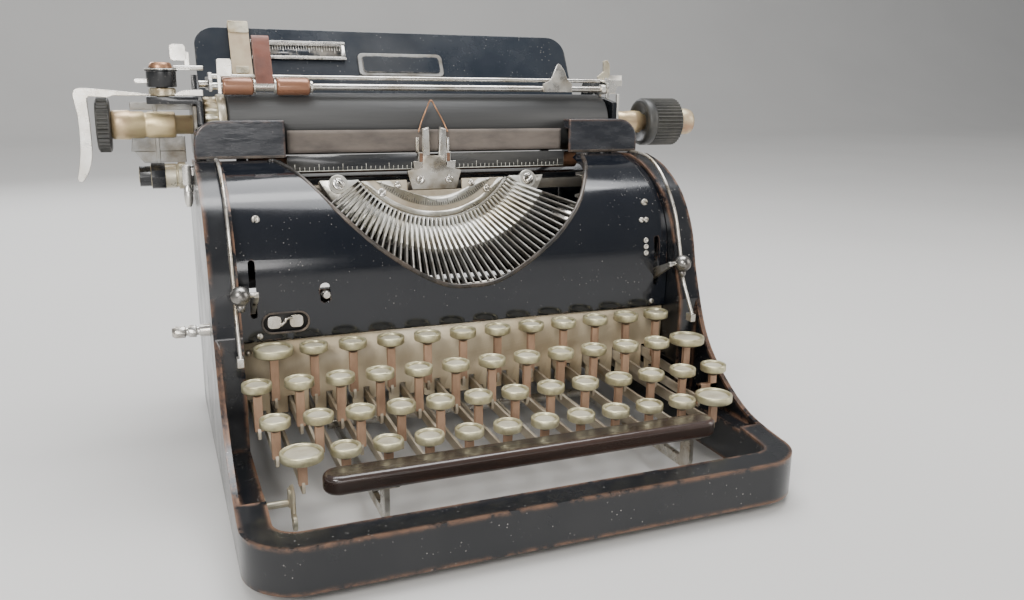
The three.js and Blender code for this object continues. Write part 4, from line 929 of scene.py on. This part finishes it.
def bar_head(slim=False):
    """The slug. A slim one is ground to pass the guide beside its neighbours."""
    form = bmesh.new()
    outline = ((-6.9, -0.7), (-0.2, -0.7), (-0.2, -2.5), (-1.3, -2.8), (-3.1, -2.2), (-4.5, -2.8),
               (-6.3, -2.8), (-6.9, -2.2))
    if slim:
        outline = ((-2.6, -0.7), (-0.2, -0.7), (-0.2, -2.5), (-0.8, -2.8), (-2.0, -2.8), (-2.6, -2.4))
    half = 0.6 if slim else 1.35
    prism(form, [at_bar(TIP + along, across) for along, across in outline], -half, half, "X")
    return form


def bar_cheek(slim=False):
    """The flared head that a slug is brazed to."""
    form = bmesh.new()
    half, back = (0.6, -1.2) if slim else (1.0, -1.6)
    outline = ((-10.5, -0.6), (-8, back), (-0.1, back), (-0.1, 1.4), (-8, 0.9), (-10.5, 0.6))
    prism(form, [at_bar(TIP + along, across) for along, across in outline], -half, half, "X")
    return form


def bar_root():
    """The stretch nearest the pivot, in lighter steel than the outer bar, thicker where it turns in its
    slot.
    """
    form = bmesh.new()
    outline = ((-2.6, -1.15), (3, -1.2), (9, -1.12), (17, -1.06), (17, 1.06), (9, 1.12), (3, 1.2),
               (-2.6, 1.15))
    prism(form, [at_bar(along, across) for along, across in outline], -0.62, 0.62, "X")
    return form


banked = [bar for bar in range(BARS) if bar not in OWN_BARS]
piece("type_slugs", leaned(joined([fanned(bar_head(), bar) for bar in banked])), "frame", slug_steel,
      bevel=0.2, segments=1)
piece("bar_heads", leaned(joined([fanned(bar_cheek(), bar) for bar in banked])), "frame", bar_steel,
      bevel=0.15, segments=1)
piece("bar_roots", leaned(joined([fanned(bar_root(), bar) for bar in banked])), "frame", segment_steel,
      bevel=0.12, segments=1)
for bar, body in OWN_BARS.items():
    piece(body + "_root", leaned(fanned(bar_root(), bar)), body, segment_steel, bevel=0.12,
          segments=1)
    piece(body + "_slug", leaned(fanned(bar_head(True), bar)), body, slug_steel, bevel=0.12,
          segments=1)
    piece(body + "_head", leaned(fanned(bar_cheek(True), bar)), body, bar_steel, bevel=0.1,
          segments=1)

felt = aged("rest_felt", (0.2, 0.16, 0.1), (0.1, 0.08, 0.055), 160, (0.85, 0.98), 0.0, 0.8, grain=1800)
dress(["typebar_rest"], felt, 0.3, 2)

# ---- Type guide, line scale and ribbon ------------------------------------------------------------
# A forked nickel guide catches each bar at the printing point, the fork of the vibrator lifts the
# ribbon in front of it, and a black line scale with pale graduations runs either side.
dress(["type_guide"], nickel, 0.25)
dress(["ribbon_vibrator"], bright_nickel, 0.15, 1)
guide_bits = bmesh.new()
for side in (-1, 1):
    prism(guide_bits, [(side * u, v) for u, v in ((3.1, 150), (6.6, 150), (6.6, 164.4), (3.7, 165.2))],
          180.2, 181.1, "Y")
    block(guide_bits, *sorted((side * 6.8, side * 9.6)), 180.6, 183, 146, 152)
    prism(guide_bits, [(side * u, v) for u, v in ((7, 143.5), (12, 142), (12.6, 147), (7.6, 147))], 180.4,
          181.1, "Y")
piece("guide_prongs", guide_bits, "frame", bright_nickel, bevel=0.25)
guide_screws = bmesh.new()
screw(guide_screws, (-8.5, 181, 136.5), 2.5, 1.2, turn=60)
screw(guide_screws, (8.5, 181, 136.5), 2.5, 1.2, turn=150)
piece("guide_screws", guide_screws, "frame", bright_nickel, bevel=0)
brown_pad = aged("brown_pad", (0.2, 0.1, 0.055), (0.1, 0.05, 0.03), 120, (0.5, 0.7), 0.0, 0.3)
pads = bmesh.new()
block(pads, -8.9, -7.2, 179.8, 180.7, 146.6, 151.4)
block(pads, 7.2, 8.9, 179.8, 180.7, 146.6, 151.4)
piece("guide_pads", pads, "frame", brown_pad, bevel=0.2)
scale_black = aged("scale_black", (0.02, 0.021, 0.023), (0.07, 0.068, 0.062), 60, (0.15, 0.4), 0.1, 0.15,
                   worn=(0.4, 0.36, 0.3), wear=0.3, reach=0.0006, streak=(0.15, 1, 1))
dress(["line_scale"], scale_black, 0.25)
pale_mark = aged("pale_mark", (0.55, 0.54, 0.48), (0.35, 0.33, 0.28), 200, (0.5, 0.7), 0.0, 0.1)
marks = bmesh.new()
for i in range(-30, 31):
    x = i * 2.6
    if abs(x) > 9.5:
        block(marks, x - 0.14, x + 0.14, 182.9, 183.05, 142.7, 146.4 if i % 5 == 0 else 144.8)
block(marks, -81.6, -9, 182.85, 183.05, 142.45, 142.85)
block(marks, 9, 81.6, 182.85, 183.05, 142.45, 142.85)
piece("scale_marks", marks, "frame", pale_mark, bevel=0)
copper_wire = aged("copper_wire", (0.5, 0.27, 0.15), (0.25, 0.14, 0.09), 90, (0.3, 0.5), 0.85, 0.1)
card_wire = bmesh.new()
tube(card_wire, [(-8.6, 183.2, 163), (-6.5, 184.6, 168.5), (-3, 186.2, 175.5), (0, 187.2, 180.4),
                 (3, 186.2, 175.5), (6.5, 184.6, 168.5),
                 (8.6, 183.2, 163)], 0.45, sides=8)
piece("card_wire", card_wire, "frame", copper_wire, bevel=0)

cloth = aged("ribbon_cloth", (0.16, 0.135, 0.115), (0.1, 0.085, 0.075), 40, (0.8, 0.95), 0.0, 0.5,
             grain=2600,
             streak=(1, 1, 3))
RIBBON = {"half": 81, "y": 186, "low": 152.2, "high": 164.4}
strip = bmesh.new()
columns, rows = 90, 6
grid = []
for i in range(columns + 1):
    x = -RIBBON["half"] + 2 * RIBBON["half"] * i / columns
    line = []
    for j in range(rows + 1):
        z = RIBBON["low"] + (RIBBON["high"] - RIBBON["low"]) * j / rows
        slack = 0.12 * math.sin(x * 0.21) + 0.08 * math.sin(x * 0.5 + j * 0.7)
        line.append(strip.verts.new(mm(x, RIBBON["y"] + slack, z)))
    grid.append(line)
for i in range(columns):
    for j in range(rows):
        strip.faces.new((grid[i][j], grid[i + 1][j], grid[i + 1][j + 1], grid[i][j + 1]))
ribbon = piece("inked_ribbon", strip, "frame", cloth, bevel=0, stands_for=["ribbon"])
weave = ribbon.modifiers.new("weave", "SOLIDIFY")
weave.thickness = 0.0002
weave.offset = 0
dress(["ribbon_spool_left", "ribbon_spool_right"], nickel, 0.3)
dress(["bell"], bright_nickel, 0.3)

# ---- Carriage bed ---------------------------------------------------------------------------------
# The rolling carriage: an enamelled bed between two steel end plates. At the left end nickelled
# brackets carry the line-space pawl, the margin flag and a hanging release hook.
kept_enamel = aged("kept_enamel", (0.006, 0.007, 0.009), (0.014, 0.0145, 0.016), 30, (0.16, 0.36), 0.0,
                   0.08,
                   worn=(0.16, 0.11, 0.08), wear=0.2, reach=0.0007, specks=0.3, coat=0.15)
dress(["carriage_frame"], kept_enamel, 0.4)
galvanised = aged("dull_zinc", (0.32, 0.32, 0.31), (0.16, 0.14, 0.11), 60, (0.35, 0.6), 0.8, 0.25,
                  worn=(0.5, 0.46, 0.38), worn_metal=0.8, wear=0.4, reach=0.0005)
white_nickel = aged("white_nickel", (0.82, 0.8, 0.75), (0.56, 0.52, 0.44), 35, (0.2, 0.38), 0.8, 0.1)
brackets = bmesh.new()
prism(brackets, [(-159, 152.6), (-131.5, 152.6), (-131.5, 160.5), (-158, 160.5)], 213.5, 215, "Y")
prism(brackets, [(-153, 146.5), (-131.5, 146.5), (-131.5, 152.6), (-157.5, 152.6)], 213.5, 215, "Y")
prism(brackets, [(190.5, 150), (236, 150), (236, 174), (224, 182), (190.5, 177)], -127.4, -125.6, "X")
block(brackets, -146.8, -144.6, 213.2, 214.6, 143, 181)
block(brackets, -158, -126, 213.4, 214.8, 174.5, 178.5)
piece("left_brackets", brackets, "carriage", galvanised, bevel=0.3)
bosses = bmesh.new()
lathe(bosses, [(0, -156.4), (3.6, -156.2), (3.8, -153.6), (5.2, -153.2), (5.2, -151.2), (4.4, -150.6),
               (6.0, -150.2),
               (6.6, -149.4), (6.6, -137.6), (6.0, -136.8), (7.2, -136.2), (7.2, -132.4), (4.2, -132),
               (4.2, -126), (0, -126)],
      (0, 211, 139.5), "X", 32)
tan_nickel = aged("tan_nickel", (0.6, 0.56, 0.44), (0.42, 0.33, 0.2), 70, (0.25, 0.5), 0.7, 0.2,
                  worn=(0.7, 0.66, 0.55), worn_metal=0.8, wear=0.3, reach=0.0006)
piece("lower_bosses", bosses, "carriage", tan_nickel, bevel=0.2)
hook = bmesh.new()
lathe(hook, [(0, 136.6), (2.0, 136.8), (2.4, 138), (2.4, 146.4), (1.8, 147.2), (0, 147.3)],
      (-132.9, 186.7, 0), "Z", 20)
lathe(hook, [(0, 125.2), (1.2, 125.4), (1.9, 127.2), (2.2, 129), (2.2, 134.8), (1.5, 135.8), (1.5, 137),
             (0, 137)],
      (-132.9, 186.7, 0), "Z", 20)
block(hook, -134, -126, 186.7, 200, 141.5, 144.5)
piece("release_hook", hook, "carriage", white_nickel, bevel=0.2)
flag = bmesh.new()
prism(flag, rounded(-136.6, -128.6, 199.8, 208.2, 1.8), 200.6, 201.8, "Y")
prism(flag, rounded(-129.6, -127.0, 194.9, 204.4, 0.6), 200.8, 201.8, "Y")
rod(flag, (-135.2, 199.2, 196.3), (-120.6, 199.2, 196.3), 1.25)
block(flag, -131, -127, 199, 201.2, 195.2, 197.4)
piece("margin_flag", flag, "carriage", white_nickel, bevel=0.3)
cap = bmesh.new()
lathe(cap, [(0, 186.4), (6.9, 186.4), (7.3, 187), (7.3, 194.2), (7.9, 194.4), (7.9, 195.2), (0, 195.2)],
      (-141.5, 196, 0), "Z", 36)
piece("lever_boss", cap, "carriage", kept_enamel, bevel=0.2)
cap = bmesh.new()
lathe(cap, [(0, 195.1), (5.8, 195.1), (5.8, 196.6), (5.0, 198.4), (4.2, 198.9), (0, 199)],
      (-141.5, 196, 0), "Z", 28)
piece("lever_boss_cap", cap, "carriage", copper_wire, bevel=0.15)
washer = bmesh.new()
lathe(washer, [(0, 195.15), (8.3, 195.15), (8.3, 195.7), (0, 195.7)], (-141.5, 196, 0), "Z", 36)
block(washer, -141.5, -127.6, 192.4, 199.6, 195.15, 195.7)
piece("lever_washer", washer, "carriage", white_nickel, bevel=0.15)
catch = bmesh.new()
prism(catch, rounded(-154.6, -147, 188.2, 190.6, 1.15), 194.6, 197.4, "Y")
piece("lever_catch", catch, "carriage", bright_nickel, bevel=0.4)

# ---- Line-space lever -----------------------------------------------------------------------------
# A flat nickel arm pinned at the carriage's left end, bent down into a curved finger blade.
blade = bmesh.new()
LEVER = curve_through([(-121.8, 185.2), (-131, 184.9), (-136, 183.2), (-144, 182.6), (-156, 183.8),
                       (-168, 184.9), (-178, 185.7), (-181.8, 185.1),
                       (-183.4, 182.2), (-182.3, 174), (-181.9, 165), (-182.3, 156), (-183.4, 148),
                       (-184.9, 141)], 5)
LEVER += curve_through([(-184.5, 139.5), (-182.4, 139.4), (-179.4, 144), (-177.3, 151), (-176.8, 160),
                        (-176.9, 170), (-177.2, 178),
                        (-176.6, 181.2), (-172, 181.4), (-160, 180.2), (-150, 178.9)], 5)[:-8]
LEVER += [(-165, 182.1), (-150, 182.1), (-121.8, 182.1)]
prism(blade, LEVER, 193, 198.6, "Y")
piece("space_lever_blade", blade, "line_space_lever", white_nickel, bevel=0.7, segments=3,
      stands_for=["line_space_lever"])
lever_hub = bmesh.new()
lathe(lever_hub, [(0, 181.9), (6.2, 181.9), (6.6, 182.4), (6.6, 185.6), (6.0, 186.1), (0, 186.1)],
      (-141.5, 196, 0), "Z", 30)
piece("space_lever_hub", lever_hub, "line_space_lever", tan_nickel, bevel=0.2)

# ---- Platen ---------------------------------------------------------------------------------------
# A hard rubber roller on a steel shaft. Type has scored it with fine lines along its length. Brass
# hubs, a ratchet and two ribbed hand knobs turn it.
PLATEN_Y, PLATEN_Z = 205.5, 167
platen_rubber = aged("platen_rubber", (0.02, 0.021, 0.022), (0.044, 0.044, 0.043), 30, (0.45, 0.65), 0.0,
                     0.5,
                     worn=(0.12, 0.11, 0.1), worn_metal=0.0, wear=0.3, reach=0.001, grain=700,
                     streak=(0.06, 1, 1))
roller = bmesh.new()
lathe(roller, [(5.4, -110), (16.2, -110), (17, -109.2), (17, 114.2), (16.2, 115), (5.4, 115),
               (5.4, -110)], (0, PLATEN_Y, PLATEN_Z), "X", 120)
piece("platen_cylinder", roller, "platen", platen_rubber, bevel=0,
      stands_for=["platen_roller"])
old_brass = aged("old_brass", (0.66, 0.53, 0.3), (0.55, 0.38, 0.24), 45, (0.3, 0.55), 0.65, 0.35,
                 worn=(0.75, 0.62, 0.4), worn_metal=0.9, wear=0.4, reach=0.0007, specks=0.4)
collar = bmesh.new()
lathe(collar, [(5.4, -115), (15.6, -115), (15.9, -114.4), (15.9, -111.2), (15.2, -110.4), (5.4, -110.4),
               (5.4, -115)],
      (0, PLATEN_Y, PLATEN_Z), "X", 60)
piece("platen_collar", collar, "platen", tan_nickel, bevel=0)
dress(["line_ratchet"], tan_nickel, 0.2, 1)
shaft = bmesh.new()
lathe(shaft, [(0, -174.4), (5, -174.4), (5, -167.6), (6.6, -167.4), (7.4, -166.6), (7.6, -158.8),
              (6.9, -157.8), (6.9, -152),
              (6.3, -151.4), (6.3, -150), (6.8, -149.4), (6.8, -137), (6.2, -136), (5, -136), (5, 127.7),
              (6.2, 127.9),
              (6.9, 128.6), (6.6, 134), (7.1, 140), (6.9, 145.2), (5, 145.3), (5, 171.8), (0, 171.8)],
              (0, PLATEN_Y, PLATEN_Z), "X", 48)
piece("platen_axle", shaft, "platen", old_brass, bevel=0, stands_for=["platen_shaft"])
mottled = aged("mottled_button", (0.6, 0.52, 0.34), (0.42, 0.26, 0.16), 60, (0.35, 0.6), 0.5, 0.4,
               worn=(0.44, 0.24, 0.16), wear=0.45, reach=0.0012, specks=0.6)
button = bmesh.new()
lathe(button, [(0, 171.7), (6.4, 171.7), (6.8, 173), (7.8, 174.6), (8.4, 176.6), (8.4, 180.6),
               (7.6, 183.4), (5.2, 184.7),
               (0, 185)], (0, PLATEN_Y, PLATEN_Z), "X", 40)
piece("platen_end_button", button, "platen", mottled, bevel=0)


def ribbed(form, x0, x1, outer, inner, teeth):
    """A knob rim whose ribs run along the shaft, with a bore for it."""
    outline = []
    for i in range(teeth * 4):
        radius = outer if i % 4 in (1, 2) else inner
        angle = 2 * math.pi * (i + (0.25 if i % 2 else -0.25)) / (teeth * 4)
        outline.append((PLATEN_Y + radius * math.cos(angle), PLATEN_Z + radius * math.sin(angle)))
    prism(form, outline, x0, x1, "X")


vulcanite = aged("vulcanite", (0.028, 0.028, 0.027), (0.075, 0.072, 0.062), 45, (0.35, 0.6), 0.0, 0.25,
                 worn=(0.17, 0.165, 0.14), worn_metal=0.0, wear=0.75, reach=0.0008)
for name, x0, x1, outer, inner, teeth in (("left", -173.6, -168.4, 14, 13.1, 36),
                                          ("right", 152, 170.6, 15, 13.9, 40)):
    knob = bmesh.new()
    ribbed(knob, x0, x1, outer, inner, teeth)
    piece("knob_ribs_" + name, knob, "platen", vulcanite, bevel=0.25, segments=1,
          stands_for=["platen_knob_" + name])
plates = bmesh.new()
lathe(plates, [(5.2, -174.4), (12.2, -174.4), (13.6, -173.8), (13.6, -173.4), (5.2, -173.4),
               (5.2, -174.4)], (0, PLATEN_Y, PLATEN_Z), "X", 48)
lathe(plates, [(5.2, -168.6), (13.7, -168.6), (13.7, -168), (12.4, -167.5), (5.2, -167.5), (5.2, -168.6)],
      (0, PLATEN_Y, PLATEN_Z), "X", 48)
lathe(plates, [(5.2, 148.6), (9.6, 148), (11.6, 146.4), (13, 145.9), (14.4, 146.4), (15, 147.8),
               (15, 151.4), (14.6, 152.2), (5.2, 152.2),
               (5.2, 148.6)], (0, PLATEN_Y, PLATEN_Z), "X", 60)
lathe(plates, [(5.2, 170.4), (14.2, 170.4), (13.4, 171.3), (5.2, 171.4), (5.2, 170.4)],
      (0, PLATEN_Y, PLATEN_Z), "X", 48)
piece("knob_plates", plates, "platen", vulcanite, bevel=0)

# ---- Paper table ----------------------------------------------------------------------------------
# A tilted sheet-steel back rest for the paper on two legs, black enamel chipped along its edges,
# with a blank plaque where a badge would sit.
TABLE = {"left": -121, "right": 117.5, "low": (243, 178), "high": (266, 221)}
tilt = math.atan2(TABLE["high"][0] - TABLE["low"][0], TABLE["high"][1] - TABLE["low"][1])
length = math.hypot(TABLE["high"][0] - TABLE["low"][0], TABLE["high"][1] - TABLE["low"][1])


def on_table(form):
    """Takes a form drawn upright with its foot at the origin and leans it onto the table."""
    origin = mm(0, 0, 0)
    form.transform(Matrix.Translation(mm(0, *TABLE["low"])) @ Matrix.Rotation(-tilt, 4,
        "X") @ Matrix.Translation(-origin))
    return form


table_enamel = aged("table_enamel", (0.012, 0.017, 0.025), (0.03, 0.033, 0.038), 14, (0.15, 0.35), 0.0,
                    0.08,
                    worn=(0.36, 0.33, 0.28), wear=0.45, reach=0.0014, specks=0.5, coat=0.25)
sheet = bmesh.new()
outline = [p for p in rounded(TABLE["left"], TABLE["right"], -40, length, 12, 12) if p[1] > 1]
prism(sheet, outline + [(TABLE["left"], 0.4), (TABLE["right"], 0.4)], 0, 2, "Y")
on_table(sheet)
piece("paper_rest", sheet, "carriage", table_enamel, bevel=0.6, segments=3,
      stands_for=["paper_table"])
legs = bmesh.new()
for x in (-100, 96):
    block(legs, x - 3, x + 3, 242, 244.6, 138.3, 181)
    block(legs, x - 6, x + 6, 240, 247, 138.2, 140)
piece("table_legs", legs, "carriage", kept_enamel, bevel=0.4)
plaque = bmesh.new()
prism(plaque, rounded(-26, 28.6, 17.5, 33, 3.4), -1.3, 0.1, "Y")
piece("blank_plaque", on_table(plaque), "carriage", galvanised, bevel=0.5, segments=3)
plaque = bmesh.new()
prism(plaque, rounded(-23.6, 26.2, 19.6, 30.9, 2.4), -1.7, -1.2, "Y")
piece("plaque_field", on_table(plaque), "carriage", table_enamel, bevel=0.25)
dress(["paper_scale"], bright_nickel, 0.3)
tan_card = aged("tan_card", (0.5, 0.41, 0.28), (0.36, 0.27, 0.18), 60, (0.6, 0.85), 0.0, 0.2)
card = bmesh.new()
block(card, -86.8, -35.7, -0.45, -0.05, 29.8, 37.2)
piece("scale_card", on_table(card), "carriage", table_enamel, bevel=0)
lines = bmesh.new()
for i in range(33):
    x = -86 + 1.55 * i
    block(lines, x - 0.2, x + 0.2, -0.75, -0.4, 36.9 - (4.2 if i % 5 == 0 else 2.6), 37)
piece("scale_lines", on_table(lines), "carriage", white_nickel, bevel=0)
for name, x0, x1, z0, z1 in (("low", -89.6, -33, 27.4, 29), ("high", -89.6, -33, 38, 39.6)):
    slide = bmesh.new()
    block(slide, x0, x1, -2.1, -1.4, z0, z1)
    piece("scale_bar_" + name, on_table(slide), "carriage", bright_nickel, bevel=0.2)
dress(["paper_side_guide"], tan_card, 0.4)
fold = bmesh.new()
prism(fold, rounded(-101.6, -89.9, length - 6, length + 1.6, 1.2), -4.3, -3.5, "Y")
prism(fold, rounded(-99.5, -92, 16.4, 21, 1.2), -4.2, -3.5, "Y")
piece("guide_fold", on_table(fold), "paper_side_guide", tan_nickel, bevel=0.25)

# ---- Paper bail -----------------------------------------------------------------------------------
# Two nickelled rods on swinging arms hold the paper to the platen through two copper-brown rollers;
# a maroon finger tab lifts them.
ROD = (196.6, 187.2)
PIVOT_AT = (226, 188)
bail = bmesh.new()
rod(bail, (-118.4, *ROD), (117.2, *ROD), 1.8, 24)
rod(bail, (-118.4, ROD[0] + 4, ROD[1] + 5), (117.2, ROD[0] + 4, ROD[1] + 5), 1.2, 18)
for x in (-118.4, 115.6):
    line = curve_through([(ROD[0] - 2.6, ROD[1] - 2), (ROD[0] - 3, ROD[1] + 1.4),
                          (ROD[0] - 1, ROD[1] + 4.2), (PIVOT_AT[0] - 12, PIVOT_AT[1] + 3.6),
                          (PIVOT_AT[0], PIVOT_AT[1] + 3.9), (PIVOT_AT[0] + 3.2, PIVOT_AT[1]),
                          (PIVOT_AT[0], PIVOT_AT[1] - 3.2),
                          (PIVOT_AT[0] - 12, PIVOT_AT[1] - 2), (ROD[0] + 2, ROD[1] - 2.8)], 4)
    prism(bail, line, x, x + 1.6, "X")
    block(bail, x, x + 1.6, ROD[0], ROD[0] + 6, ROD[1], ROD[1] + 7)
    rod(bail, (x - 3.6 if x < 0 else x + 0.6, *PIVOT_AT), (x + 1.4 if x < 0 else x + 5.2, *PIVOT_AT), 2)
piece("bail_rods", bail, "paper_bail", bright_nickel, bevel=0.2, stands_for=["paper_bail"])
clips = bmesh.new()
block(clips, -114.2, -112.4, ROD[0] - 3.2, ROD[0] - 1.4, ROD[1] - 4, ROD[1] + 6)
prism(clips, rounded(-114.2, -106.6, ROD[1] + 5, ROD[1] + 14, 1.4), ROD[0] - 2.6, ROD[0] - 1.4, "Y")
lathe(clips, [(0, -95.9), (3.9, -95.9), (3.9, -94.9), (2.6, -94.7), (2.6, -85.3), (3.9, -85.1),
              (3.9, -84.1), (0, -84.1)], (0, *ROD), "X", 24)
lathe(clips, [(0, -66), (3.2, -66), (3.2, -64.6), (2.4, -64.4), (0, -64.2)], (0, *ROD), "X", 24)
lathe(clips, [(0, 112.2), (3.0, 112.2), (3.0, 115.2), (0, 115.2)], (0, *ROD), "X", 24)
piece("bail_clips", clips, "paper_bail", white_nickel, bevel=0.25)
fin = bmesh.new()
prism(fin, curve_through([(72.4, 190.2), (77, 192.4), (79.5, 197), (82.1, 202), (86, 198.6), (88.6, 193),
                          (91.8, 190.2)], 5)
      + [(91.8, 185.4), (72.4, 185.4)], ROD[0] - 2.9, ROD[0] - 2, "Y")
piece("bail_fin", fin, "paper_bail", nickel, bevel=0.25)
arm_piece = bmesh.new()
prism(arm_piece, [(114.6, 191), (118.6, 191), (121.5, 196), (121, 202.5), (119.4, 205), (116.6, 204.4),
                  (116.8, 198), (112.6, 195)],
      ROD[0] + 4.6, ROD[0] + 6.2, "Y")
piece("bail_arm_tip", arm_piece, "paper_bail", tan_nickel, bevel=0.3)
maroon = aged("maroon_finger", (0.17, 0.065, 0.045), (0.09, 0.04, 0.03), 60, (0.35, 0.6), 0.1, 0.3,
              worn=(0.4, 0.26, 0.18), wear=0.5, reach=0.001)
finger = bmesh.new()
prism(finger, curve_through([(ROD[0] - 2.6, ROD[1] - 1), (ROD[0] - 1.4, ROD[1] + 4),
                             (ROD[0] + 3, ROD[1] + 14), (ROD[0] + 9, 213), (ROD[0] + 11, 212),
                             (ROD[0] + 6, ROD[1] + 12), (ROD[0] + 3, ROD[1] + 2)], 5), -94.6, -85.4, "X")
piece("bail_finger", finger, "paper_bail", maroon, bevel=0.6, segments=3)
roller_copper = aged("roller_copper", (0.33, 0.16, 0.095), (0.2, 0.1, 0.065), 60, (0.2, 0.4), 0.35, 0.15,
                     worn=(0.5, 0.34, 0.24), wear=0.3, reach=0.0006, streak=(0.3, 1, 1))
for name, x0, x1 in (("bail_roller_left", -111.7, -96.2), ("bail_roller_right", -83.8, -66.4)):
    form = bmesh.new()
    lathe(form, [(2.2, x0), (3.8, x0), (4.4, x0 + 0.5), (4.5, x0 + 1.4), (4.5, x1 - 1.4), (4.4, x1 - 0.5),
                 (3.8, x1), (2.2, x1), (2.2, x0)],
          (0, *ROD), "X", 40)
    piece(name + "_sleeve", form, name, roller_copper, bevel=0, stands_for=[name])
dress(["feed_roller"], brown_pad, 0.3)

# ---- Carriage release, right end ------------------------------------------------------------------
# A stepped nickel lever frees the carriage, beside a bright guide strip on the right end plate.
dress(["carriage_release_lever"], white_nickel, 0.5, 3)
steps = bmesh.new()
prism(steps, [(124, 193.2), (133, 193.2), (133, 189.4), (129.4, 189.4), (128.6, 184.6), (124.6, 184.6),
              (124.2, 181.4), (121.6, 181.4), (121.6, 193.2)],
      206.2, 207.4, "Y")
piece("release_steps", steps, "carriage_release_lever", white_nickel, bevel=0.35)
strip = bmesh.new()
block(strip, 121.1, 122.6, 190.2, 192.4, 150, 184.6)
piece("end_strip", strip, "carriage", white_nickel, bevel=0.3)
dress(["mainspring_drum"], nickel, 0.5)
dress(["escapement_wheel"], old_brass, 0.25)

# ---- Ribbon levers and side wires -----------------------------------------------------------------
# Two ball-headed levers in slots at the sides of the cover reverse the ribbon. A thin nickel wire
# follows the edge of each cheek from the ribbon cap down past the ball.
dress(["ribbon_lever_left", "ribbon_lever_right"], nickel, 0.2)
dark_ball = aged("dark_ball", (0.3, 0.29, 0.27), (0.12, 0.11, 0.1), 70, (0.2, 0.4), 0.9, 0.1,
                 worn=(0.5, 0.46, 0.4), wear=0.2, reach=0.001)
BALL, BALL_RADIUS, BALL_STEPS = (117.2, 101, 95), 4.6, 14
WIRE_X, WIRE_RADIUS = 119.5, 0.95
WIRE_LINE = [(168, 151.2), (158, 151.1), (146, 149.2), (134, 143), (123, 132.6), (114.6, 120), (109.6, 106),
             (106.9, 97), (103.6, 86), (97.6, 76), (91.8, 67)]
for side, name in ((-1, "left"), (1, "right")):
    form = bmesh.new()
    angles = [math.pi * i / BALL_STEPS for i in range(BALL_STEPS + 1)]
    half_turn = [(BALL_RADIUS * math.sin(angle), -BALL_RADIUS * math.cos(angle)) for angle in angles]
    lathe(form, half_turn, (side * BALL[0], BALL[1], BALL[2]), "Z", 28)
    lathe(form, [(0, -7.2), (1.6, -7.2), (2.0, -5.6), (2.0, -4), (0, -4)],
          (side * BALL[0], BALL[1], BALL[2]), "Z", 20)
    piece("lever_ball_" + name, form, "ribbon_lever_" + name, dark_ball, bevel=0)
    form = bmesh.new()
    tube(form, [(side * WIRE_X, y, z) for y, z in WIRE_LINE], WIRE_RADIUS, flat=0.7)
    piece("edge_wire_" + name, form, "frame", nickel, bevel=0)
    form = bmesh.new()
    block(form, *sorted((side * 118, side * 121)), 91, 96.4, 64, 68.4)
    piece("wire_clip_" + name, form, "frame", nickel, bevel=0.4)

# ---- Shift linkage and side rod -------------------------------------------------------------------
# At the front left a hooked nickel arm and a bracket join the shift keys to the basket lift; a
# grooved push rod comes out of the left cheek.
dress(["side_push_rod"], bright_nickel, 0.25)
linkage = bmesh.new()
tube(linkage, [(-103.6, 66, 15), (-104, 58, 14), (-104.8, 52, 11.5), (-105.2, 48.4, 8.5)], 1.4, flat=0.6)
lathe(linkage, [(1.5, -0.9), (3.6, -0.9), (3.6, 0.9), (1.5, 0.9), (1.5, -0.9)], (-105, 47, 7), "X", 24)
prism(linkage, [(58, 4), (66, 4), (68, 9), (66.4, 13), (60.5, 13.4), (57, 9)], -116.6, -115.2, "X")
rod(linkage, (-116.6, 62.2, 9), (-104, 62.2, 9), 1.6)
prism(linkage, [(60, 7.4), (64.6, 7.4), (64, 15.6), (60.6, 15.6)], -105.6, -104.4, "X")
piece("shift_linkage", linkage, "frame", tan_nickel, bevel=0.25)
